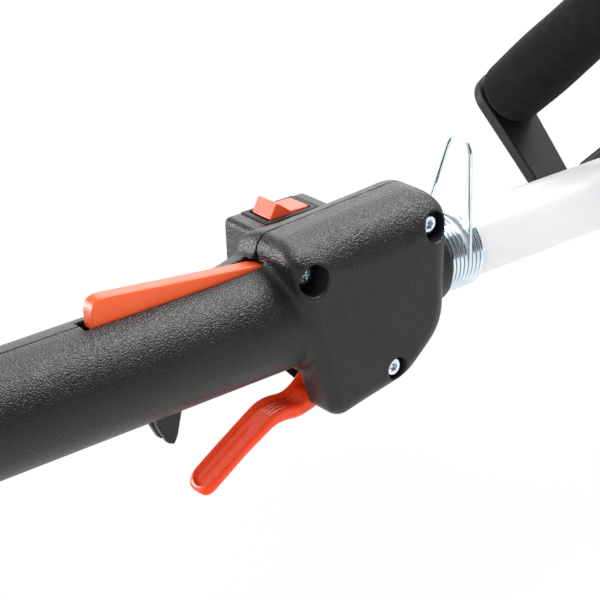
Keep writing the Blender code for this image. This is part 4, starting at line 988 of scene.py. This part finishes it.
def shroud_field(p):
    x, y, z = p.T

    def cover(wall):
        hull = block(p, (-51.7 + wall, -47 + wall, 30), (43.7 - wall, 47 - wall, 125 - wall),
                     15 - wall)
        crown = z - 125 + wall + 2.6 * ((x - CYL_X) / 48) ** 2 + 4 * (y / 47) ** 2
        return smax(hull, crown, 4)
    out = maximum(cover(0), -cover(3))
    out = cut(out, 0.5, cover(-0.01), slab(z, 67.5, 68.9), -cover(0.8))
    out = smax(out, 65.2 - z, 1)
    port = block(p, (CYL_X - 19, -60, 0), (CYL_X + 19, 60, CARB_Z + 19), 5)
    out = smax(out, -port, 0.9)
    plug = hypot(x - CYL_X, y)
    out = smax(out, 13 - plug, 1.4)
    out = cut(out, 0.6, abs(plug - 17.5) - 0.7, 122.6 - z)
    out = cut(out, 0.6, oblong(y, nearest(z, 77, 7.6, 5), 25, 2), 42 - abs(x - CYL_X))
    slot = oblong(z - 88, nearest(abs(x - CYL_X - 1), 26, 6.2, 3), 13, 1.6)
    out = cut(out, 0.6, slot, 40 - abs(y), abs(x - CYL_X) - 42)
    post = block(p, (CYL_X - 20, -5, 112.3), (CYL_X + 20, 5, 121), 0.6)
    return join(out, 0.8, post, 14.2 - plug)


def muffler_cage_field(p):
    x, y, z = p.T
    out = block(p, (-39, -96.5, 34), (29, -40, 105), 11)
    out = maximum(out, -block(p, (-36, -93.5, 37), (26, 10, 102), 8))
    out = smax(out, y + 59.5, 0.8)
    out = cut(out, 0.7, oblong(z - CARB_Z, nearest(x, -30.5, 8.4, 7), 19, 2.1), y + 88)
    out = cut(out, 0.7, oblong(y + 76, nearest(x, -30.5, 8.4, 7), 9, 1.7), 92 - z)
    out = cut(out, 0.7, oblong(y + 77, nearest(z, 68, 7.6, 4), 8, 1.7), 20 - abs(x + 5))
    out = cut(out, 1, hypot(y + 69, z - 53) - 8.5, 15 - x)
    strap = block(p, (-33, -62, 100.5), (23, -47.4, 103.5), 0.9)
    stop = block(p, (CYL_X - 12, -94.5, 90), (CYL_X + 12, -89.3, 93), 0.6)
    return smin(smin(out, strap, 0.8), stop, 0.5)


def engine_block_field(p):
    x, y, z = p.T
    around = hypot(y, z)
    out = drum(around, x, 36, -40, 43.4, 2.5)
    out = smin(out, block(p, (CYL_X - 33, -30, 20), (CYL_X + 33, 30, 39.5), 3), 2.5)
    out = smin(out, block(p, (-38, -30, -64), (42, 30, -20), 5), 3)
    rib = maximum(abs(nearest(x, -31, 16.6, 5)) - 1.3, slab(z, -63, -12))
    out = join(out, 2.4, rib, abs(y) - 34.5)
    out = smin(out, block(p, (-40, -37, -64), (43.4, 37, -58), 2), 2)
    for turn in BOLT_TURNS:
        boss = hypot(y - BOLT_R * math.cos(turn), z - BOLT_R * math.sin(turn))
        out = smin(out, drum(boss, x, 5.2, -14, 18, 1), 2)
    out = cut(out, 0.4, abs(x - 2) - 0.35, -0.8 - out)
    room = minimum(drum(around, x, 28.5, CYL_X - 20, CYL_X + 20),
                   drum(hypot(x - CYL_X, y), z, 20.5, 0, 60))
    return maximum(out, -minimum(room, around - 7.8))


def barrel_field(p):
    x, y, z = p.T
    around = hypot(x - CYL_X, y)
    out = drum(around, z, 27, 39.8, 112, 3.5)
    fin = round_edge(around - 42, abs(nearest(z, 61.5, 9, 6)) - 1.5, 0.8)
    out = smin(out, fin, 1.2)
    out = smin(out, drum(around, z, 32, 39.8, 45.8, 1.2), 1.5)
    for low, high in ((23, 48.5), (-48.5, -23)):
        port = block(p, (CYL_X - 14, low, CARB_Z - 13), (CYL_X + 14, high, CARB_Z + 13), 1.5)
        out = smin(out, port, 0.8)
    bore = maximum(around - 20, z - 88)
    bore = minimum(bore, maximum(around - 20 + 1.83 * (z - 88), slab(z, 87, 95.5)))
    return maximum(out, -minimum(bore, around - 7.2))


def filter_cover_field(p):
    x, y, z = p.T
    u, w = x - CYL_X, z - CARB_Z

    def cover(wall):
        hull = block(p, (CYL_X - 45 + wall, 60, CARB_Z - 40 + wall),
                     (CYL_X + 45 - wall, 130 - wall, CARB_Z + 40 - wall), 11 - wall)
        return smax(hull, y - 130 + wall + 3 * (u / 45) ** 2 + 2.4 * (w / 40) ** 2, 5)
    out = maximum(cover(0), -cover(2.5))
    out = smax(out, 98.8 - y, 0.6)
    border = block(p, (CYL_X - 35, 0, CARB_Z - 30), (CYL_X + 35, 300, CARB_Z + 30), 8)
    out = cut(out, 0.6, abs(border) - 0.8, -cover(0.9), 120 - y)
    rib = maximum(oblong(u, nearest(w, -24, 8, 7), 26, 1.1), 17 - hypot(u, w))
    out = cut(out, 0.6, rib, -cover(0.9), 120 - y)
    around = hypot(u, w)
    out = smax(out, -drum(around, y, 13.5, 125.2, 140, 0.5), 0.8)
    out = minimum(out, maximum(drum(around, y, 14.5, 122.9, 125.4, 0.4), -cover(30)))
    r, t = spokes(u, w, 8)
    knob = smax(drum(around, y, 10.5, 123.5, 129.6, 1.4), 3 - hypot(r - 12.4, t), 0.8)
    out = smin(out, knob, 0.5)
    return cut(out, 0.6, oblong(y - 112, nearest(w, -15.8, 10.5, 4), 6, 2), 38 - abs(u))


def tank_field(p):
    x, y, z = p.T
    low, high = np.array((-55.5, -75, -143.7)), np.array((59.5, 75, -64.3))
    out = block(p, low, high, 15)
    for axis in (0, 1):
        grow = np.array((8, 8, 0))
        panel_low, panel_high = low + (22, 22, 14), high - (22, 22, 24)
        for end in (-1, 1):
            a, b = panel_low.copy(), panel_high.copy()
            a[axis], b[axis] = ((high[axis] - 1.3, high[axis] + grow[axis]) if end > 0 else
                                (low[axis] - grow[axis], low[axis] + 1.3))
            out = smax(out, -block(p, a, b, 1), 1.6)
    seam = maximum(block(p, low - 1.2, high + 1.2, 16.2), abs(z + 96) - 1.3)
    out = smin(out, seam, 1)
    neck = drum(hypot(x - 15, y + 59), z, 13, -75, -54.3, 0.6)
    return smin(out, neck, 2.2)


def cap_field(p):
    x, y, z = p[:, 0] - 15, p[:, 1] + 59, p[:, 2]
    around = hypot(x, y)
    flutes = 0.45 * np.cos(26 * np.arctan2(y, x)) * step01(-z, 51.5, 53.5)
    out = drum(around + 0.45 - flutes, z, 17, -64, -50.3, 1.4)
    pocket = drum(around, z, 12.6, -52.6, -45, 0.5)
    out = smax(out, -smax(pocket, 2.4 - abs(y), 0.8), 0.8)
    return maximum(out, -maximum(around - 13.3, z + 54))


def foot_field(p):
    x, y, z = p.T
    around = hypot(y, z)
    plan = hypot(maximum(abs(x) - 60, 0), maximum(abs(y) - 41, 0)) - 14
    out = round_edge(plan, slab(z, -149.6, -144), 1.4)
    for low, high, seat in (((63.8, -22, -149), (72.2, 22, -55), FAN_SEAT),
                            ((-72.2, -22, -149), (-63.8, 22, -40), STARTER_SEAT)):
        post = block(p, low, high, 1.6)
        outer = x - 68 if low[0] > 0 else -x - 68
        panel = maximum(block(p, (-90, -17.5, -138), (90, 17.5, -72), 4), 2.4 - outer)
        panel = maximum(panel, 1.2 - abs(y))
        post = smax(post, -panel, 0.8)
        out = join(out, 2.4, post, seat - around)
    return smax(out, -oblong(x, abs(y) - 34, 34, 5), 0.9)


pull_profile = profile([(-5, 0), (4.8, 0), (6.5, 4), (5.5, 12), (5.9, 20), (5.5, 28), (6.5, 36),
                        (4.8, 40), (-5, 40)], 2.6)


def pull_field(p):
    x, y, z = p[:, 0] + 64, p[:, 1], p[:, 2]
    bar = pull_profile(hypot(x, y - 70), z)
    bar = bar + 0.28 * (0.5 + 0.5 * np.cos(2 * pi * z / 3.2)) * step01(-abs(z - 20), -17, -14)
    stem = hypot(x, z - 20) - 4 - 1.5 * np.clip((y - 56.3) / 13.7, 0, 1)
    return smin(bar, round_edge(stem, slab(y, 56.3, 70), 0.6), 2)


# Gear head, guard and cutting head; the head's frame has the spindle as Z
case_profile = profile([(-5, 24), (15, 24), (24, 13), (24, -20), (19, -34), (-5, -34)], 3.5)
collar_profile = profile([(-5, 4), (21.5, 4), (21.5, -24), (18.5, -34), (18.5, -75), (-5, -75)], 2)
GUARD_DROP = (150 - 130 * math.sin(-HEAD_TURN)) / math.cos(HEAD_TURN)
skirt_profile = profile([(26, -35.5), (122, -35.5), (130, -43.5), (130, -GUARD_DROP),
                         (126, -GUARD_DROP), (127, -GUARD_DROP + 6), (127, -44.5), (121, -38.5),
                         (26, -38.5)], 1.3)
bowl_profile = profile([(30, -41.5), (50, -52), (54, -60), (54, -82.5), (51, -82.5), (51, -61),
                        (47, -54.5), (29, -44.5), (5.3, -44.5), (5.3, -36.5), (15, -36.5),
                        (15, -41.5)], 1.2)
knob_profile = profile([(-5, -81.8), (28, -81.8), (28, -85.5), (24, -97.5), (18, -100.5),
                        (-5, -101.5)], 1.8)
EYELET_Z = -70
TO_HEAD = np.array(Matrix.Rotation(HEAD_TURN, 3, "Y"))


def gear_field(p):
    x, y, z = p.T
    q = p @ TO_HEAD
    hx, hy, hz = q.T
    across = hypot(hx, hy)
    case = case_profile(across, hz)
    r, t = spokes(hx, hy, 10, pi / 10)
    case = join(case, 1.4, abs(t) - 1.2, slab(hz, -22, 13), 14 - r, case - 1.6)
    around = hypot(y, z)
    out = smin(case, collar_profile(around, x), 5)
    out = smin(out, block(p, (-75, -7.5, 15), (-65, 7.5, 27.5), 2), 2)
    boss = drum(hypot(hx + 4, hz - 8), -hy, 6, 10, 26.5, 1)
    out = smin(out, boss, 2)
    hollow = minimum(drum(across, hz, 13.3, -50, 8),
                     drum(across + maximum(hz - 8, 0), hz, 18, -14, 16))
    hollow = minimum(hollow, drum(around, x, 11, -40, -2))
    out = maximum(out, -hollow)
    out = smax(out, -drum(around, x, SEAT_R, -90, -29.7), 0.4)
    out = cut(out, 0.4, abs(y) - 0.8, 12 - z, x + 60)
    return smax(out, 1.9 - hypot(x + 70, z - 22.5), 0.2)


def bracket_field(p):
    """Guard bracket, in the shaft's frame; its foot lies on the guard."""
    x, y, z = p.T
    q = p @ TO_HEAD
    around = hypot(y, z)
    out = drum(around, x, 23.5, -64, -44, 1.3)
    leg = block(p, (-62, -8, -66), (-46, 8, -15), 2)
    leg = cut(leg, 0.8, abs(x + 54) - 4.5, 6 - abs(y))
    out = smin(out, leg, 3)
    out = smin(out, block(q, (-102, -22, -36.5), (-64, 22, -31), 2.5), 3)
    out = maximum(out, -35.2 - q[:, 2])
    return smax(out, 18.8 - around, 0.4)


def skirt_field(p):
    x, y, z = p.T
    around = hypot(x, y)
    out = skirt_profile(around, z)
    _, t = spokes(x, y, 24, pi / 24)
    roof = -37.4 - 1.1 * maximum(around - 119.5, 0)
    low = -41.5 - 0.10 * (around - 62)
    out = join(out, 1.5, abs(t) - 1.2, slab(around, 62, 127), slab(z, low, roof))
    for bead in (47, 110):
        out = smin(out, hypot(around - bead, z + 36.2) - 1.9, 1.6)
    return smax(out, x - 15, 1.2)


def bowl_field(p):
    x, y, z = p.T
    around = hypot(x, y)
    out = bowl_profile(around, z)
    r, t = spokes(x, y, 14)
    out = cut(out, 0.9, oblong(z + 71.5, t, 7.5, 3.4), 52.8 - around)
    outside = -43 - 0.525 * (around - 30) - z
    out = join(out, 1.2, abs(t) - 1.5, slab(around, 31, 48), -57 - z, outside,
               bowl_profile(around, z) - 1.5)
    r, t = spokes(x, y, 2)
    eye = hypot(t, z - EYELET_Z)
    out = join(out, 1.2, drum(eye, r, 7, 51.4, 56, 1.2), 51.2 - around)
    return cut(out, 0.4, eye - 3.2, 45 - r)


def eyelet_field(p):
    r, t = spokes(p[:, 0], p[:, 1], 2)
    eye = hypot(t, p[:, 2] - EYELET_Z)
    tube = maximum(abs(eye - 2.4) - 0.6, slab(r, 50.4, 56.6))
    return smin(tube, hypot(eye - 3.4, r - 56.4) - 0.9, 0.4)


def knob_field(p):
    x, y, z = p.T
    around = hypot(x, y)
    r, t = spokes(x, y, 6)
    out = smax(knob_profile(around, z), 9 - hypot(r - 33.5, t), 2)
    return smax(out, -drum(around, -z, 9, 99.5, 110, 0.5), 1)


def facing(x, y, z, turn_x=0, turn_y=0):
    """Place of a screw in millimetres, its head up along Z before the turns."""
    return (Matrix.Translation((x * MM, y * MM, z * MM)) @ Matrix.Rotation(turn_y, 4, "Y")
            @ Matrix.Rotation(turn_x, 4, "X"))


def screw_set(name, matrix, places):
    """Several screws of the chassis as one piece."""
    points, faces, normals = surface(screw_field, *SCREW_BOX, 0.3)
    sets = [[], [], []]
    for k, place_at in enumerate(places):
        turn = np.array(place_at.to_3x3())
        sets[0].append(points @ turn.T + np.array(place_at.translation) / MM)
        sets[1].append(faces + k * len(points))
        sets[2].append(normals @ turn.T)
    points, faces, normals = (np.concatenate(part) for part in sets)
    place(mesh_object(name, points, faces, matrix, ZINC, normals), "chassis")


def ring_places(count, radius, start, x, turn_y):
    return [facing(x, radius * math.cos(a), radius * math.sin(a), turn_y=turn_y)
            for a in (start + 2 * pi * k / count for k in range(count))]


ENGINE = (
    ("clutch_cover", clutch_field, (83, -58.5, -58.5), (143, 58.5, 58.5), 1, AT_BODY, CHARCOAL,
     "chassis", "clutch_housing"),
    ("fan_case", fan_field, (43, -65.5, -65.5), (84.5, 65.5, 65.5), 1, AT_BODY, CHARCOAL,
     "chassis", "fan_housing"),
    ("starter_case", starter_field, (-89.5, -57.5, -57.5), (-39.5, 57.5, 57.5), 0.9, AT_BODY,
     CHARCOAL, "chassis", "starter_housing"),
    ("shroud", shroud_field, (-53, -48.5, 63.5), (45, 48.5, 126.5), 1, AT_BODY, ORANGE,
     "chassis", "top_shroud"),
    ("muffler_cage", muffler_cage_field, (-40.5, -98, 32.5), (30.5, -46, 106.5), 0.9, AT_BODY,
     CHARCOAL, "chassis", "muffler_guard"),
    ("engine_block", engine_block_field, (-41.5, -43.5, -65.5), (45, 43.5, 41), 1, AT_BODY, CAST,
     "chassis", "crankcase"),
    ("finned_barrel", barrel_field, (-47.5, -50, 38.5), (39.5, 50, 113.5), 1, AT_BODY, CAST,
     "chassis", "cylinder"),
    ("filter_cover", filter_cover_field, (-50.5, 97, 29.5), (42.5, 131.5, 112.5), 0.9, AT_BODY,
     CHARCOAL, "chassis", "air_filter_cover"),
    ("tank_body", tank_field, (-58, -77.7, -145.5), (62, 77.7, -53), 1.2, AT_BODY, TANK,
     "chassis", "fuel_tank"),
    ("tank_cap", cap_field, (-3.5, -77.5, -65.5), (33.5, -40.5, -49), 0.6, AT_BODY, BLACK,
     "cap", "fuel_cap"),
    ("foot", foot_field, (-75.5, -56.5, -151), (75.5, 56.5, -38.5), 1.3, AT_BODY, CHARCOAL,
     "chassis", "engine_foot"),
    ("pull_grip", pull_field, (-72, 54.5, -1.5), (-56, 78, 41.5), 0.6, AT_BODY, BLACK,
     "pull_handle", "starter_handle"),
    ("gear_case", gear_field, (-76.5, -28.5, -36.5), (32, 28.5, 32), 0.8, AT_NECK, CAST,
     "chassis", "gearbox_housing"),
    ("guard_clamp", bracket_field, (-78, -25, -84), (-36, 25, 25), 0.8, AT_NECK, CHARCOAL,
     "chassis", "guard_bracket"),
    ("guard_skirt", skirt_field, (-131.5, -131.5, -100), (17, 131.5, -33), 1.4, AT_HEAD, BLACK,
     "chassis", "debris_guard"),
    ("head_bowl", bowl_field, (-58, -58, -84), (58, 58, -35), 1, AT_HEAD, BLACK,
     "head", "head_housing"),
    ("bump_button", knob_field, (-29.5, -29.5, -103), (29.5, 29.5, -80.5), 0.8, AT_HEAD, ORANGE,
     "spool", "bump_knob"),
)


def add_engine_and_head():
    place(lathe("white_tube", tube_line(), 64, AT_BODY, PAINT), "chassis", "shaft_tube")
    add_pieces(ENGINE)
    place(skin("line_eyelets", eyelet_field, (-58.5, -5.5, -75.5), (58.5, 5.5, -64.5), 0.5,
               AT_HEAD, ZINC), "head")
    flange = ring_places(4, FLANGE_R, pi / 4, 95, RIGHT_ANGLE)
    clamp = [facing(134.5, -7.5, 23, turn_x=RIGHT_ANGLE)]
    starter = ring_places(4, STARTER_EAR_R, pi / 4, -48.5, -RIGHT_ANGLE)[:2]
    bolts = [facing(18, BOLT_R * math.cos(a), BOLT_R * math.sin(a), turn_y=RIGHT_ANGLE)
             for a in BOLT_TURNS]
    guard = [facing(-94, -15, -31), facing(-94, 15, -31),
             facing(-4, -26.5, 8, turn_x=RIGHT_ANGLE)]
    screw_set("engine_screws", AT_BODY, flange + clamp + starter)
    screw_set("block_screws", AT_BODY, bolts)
    screw_set("gear_screws", AT_NECK, [facing(-70, -7.5, 22.5, turn_x=RIGHT_ANGLE)])
    screw_set("guard_screws", AT_HEAD, guard)
    place(lathe("recoil_reel", eased(REEL, 0.6), 64, AT_BODY, BLACK), "chassis")


# Materials of the CAD nodes that stay
FINISH = {
    BLACK: "shaft_bush intake_block air_filter_base choke_lever",
    ORANGE: "line_spool",
    FOAM: "air_filter_element",
    ZINC: "trigger_pin lever_pin clamp_bolt_left clamp_bolt_right throttle_arm line_cutter",
    STEEL: "drive_shaft clutch_bearing clutch_drum clutch_rotor crankshaft wrist_pin spark_plug"
           " pinion_gear output_spindle spindle_bearing",
    CAST: "flywheel connecting_rod piston carburettor",
    MUFFLER: "muffler",
    RUBBER: "plug_boot primer_bulb",
}


def finish_nodes():
    for mat, names in FINISH.items():
        for name in names.split():
            for slot in NODES[name].material_slots:
                slot.material = mat


# Floor, card and lamps
def plain_rays(nt):
    """1 for camera, glossy and transmission rays, 0 for the others."""
    path = node(nt, "ShaderNodeLightPath")
    out = path.outputs["Is Camera Ray"]
    for kind in ("Is Glossy Ray", "Is Transmission Ray"):
        both = node(nt, "ShaderNodeMath", operation="MAXIMUM")
        nt.links.new(out, both.inputs[0])
        nt.links.new(path.outputs[kind], both.inputs[1])
        out = both.outputs[0]
    return out


def sheet(name, corners, mat):
    mesh = bpy.data.meshes.new(name)
    mesh.from_pydata(corners, [], [(0, 1, 2, 3)])
    mesh.materials.append(mat)
    return new_object(name, mesh)


FLOOR_HALF = 12.0
FLOOR_GLOW = 0.88         # share of plain white that camera and reflections see in the floor
AMBIENT = 0.80            # world light on surfaces; the camera and reflections see 1


def add_floor():
    """Pale floor: white to the camera and in reflections, with the object's soft shadow."""
    mat, nt, shader = tree("floor")
    shader.inputs["Base Color"].default_value = (0.95, 0.95, 0.95, 1)
    shader.inputs["Specular IOR Level"].default_value = 0.0
    glow = node(nt, "ShaderNodeEmission", Strength=1.0)
    share = node(nt, "ShaderNodeMath", operation="MULTIPLY")
    share.inputs[1].default_value = FLOOR_GLOW
    nt.links.new(plain_rays(nt), share.inputs[0])
    mix = node(nt, "ShaderNodeMixShader")
    nt.links.new(share.outputs[0], mix.inputs["Fac"])
    nt.links.new(shader.outputs[0], mix.inputs[1])
    nt.links.new(glow.outputs[0], mix.inputs[2])
    nt.links.new(mix.outputs[0], nt.nodes["Material Output"].inputs["Surface"])
    signs = ((-1, -1), (1, -1), (1, 1), (-1, 1))
    floor = sheet("floor", [(FLOOR_HALF * x, FLOOR_HALF * y, 0) for x, y in signs], mat)
    floor.location = (0.5, 0, -0.0005)


def add_card():
    """Dark card on the camera's side, seen in reflections alone."""
    mat, _, shader = tree("card")
    shader.inputs["Base Color"].default_value = (0.015, 0.015, 0.015, 1)
    card = sheet("card", [(-1.2, -1.3, 0.1), (2.8, -1.3, 0.1), (2.8, -1.3, 2.2),
                          (-1.2, -1.3, 2.2)], mat)
    card.visible_camera = False
    card.visible_diffuse = False


AIM = (0.36, 0, 0.16)

# Lamps: place, size, power, and whether diffuse and glossy rays see them
LAMPS = {
    "key": ((1.25, -0.20, 1.70), 0.70, 13, True, True),
    "key_gloss": ((1.25, -0.20, 1.71), 0.85, 29, False, True),
    "back_gloss": ((1.35, 1.10, 0.95), 1.50, 16, False, True),
    "left": ((-0.35, 0.85, 0.50), 0.50, 2.5, True, True),
    "left_gloss": ((-0.35, 0.85, 0.12), 0.50, 16, False, True),
    "rear": ((-1.30, -0.50, 0.45), 0.80, 15, True, False),
}


def light_scene():
    scene = bpy.context.scene
    scene.view_settings.view_transform = "Standard"
    scene.world = bpy.data.worlds.new("studio")
    scene.world.use_nodes = True
    nt = scene.world.node_tree
    back = nt.nodes["Background"]
    back.inputs["Color"].default_value = (1, 1, 1, 1)
    level = node(nt, "ShaderNodeMapRange", To_Min=AMBIENT, To_Max=1.0)
    nt.links.new(plain_rays(nt), level.inputs["Value"])
    nt.links.new(level.outputs["Result"], back.inputs["Strength"])
    for name, (at, size, power, diffuse, glossy) in LAMPS.items():
        data = bpy.data.lights.new(name, "AREA")
        data.energy = power
        data.size = size
        lamp = new_object(name, data)
        lamp.location = at
        lamp.visible_diffuse = diffuse
        lamp.visible_glossy = glossy
        lamp.rotation_euler = (Vector(AIM) - Vector(at)).to_track_quat("-Z", "Y").to_euler()


add_camera()
add_handle_pieces()
add_engine_and_head()
finish_nodes()
add_floor()
light_scene()
add_card()
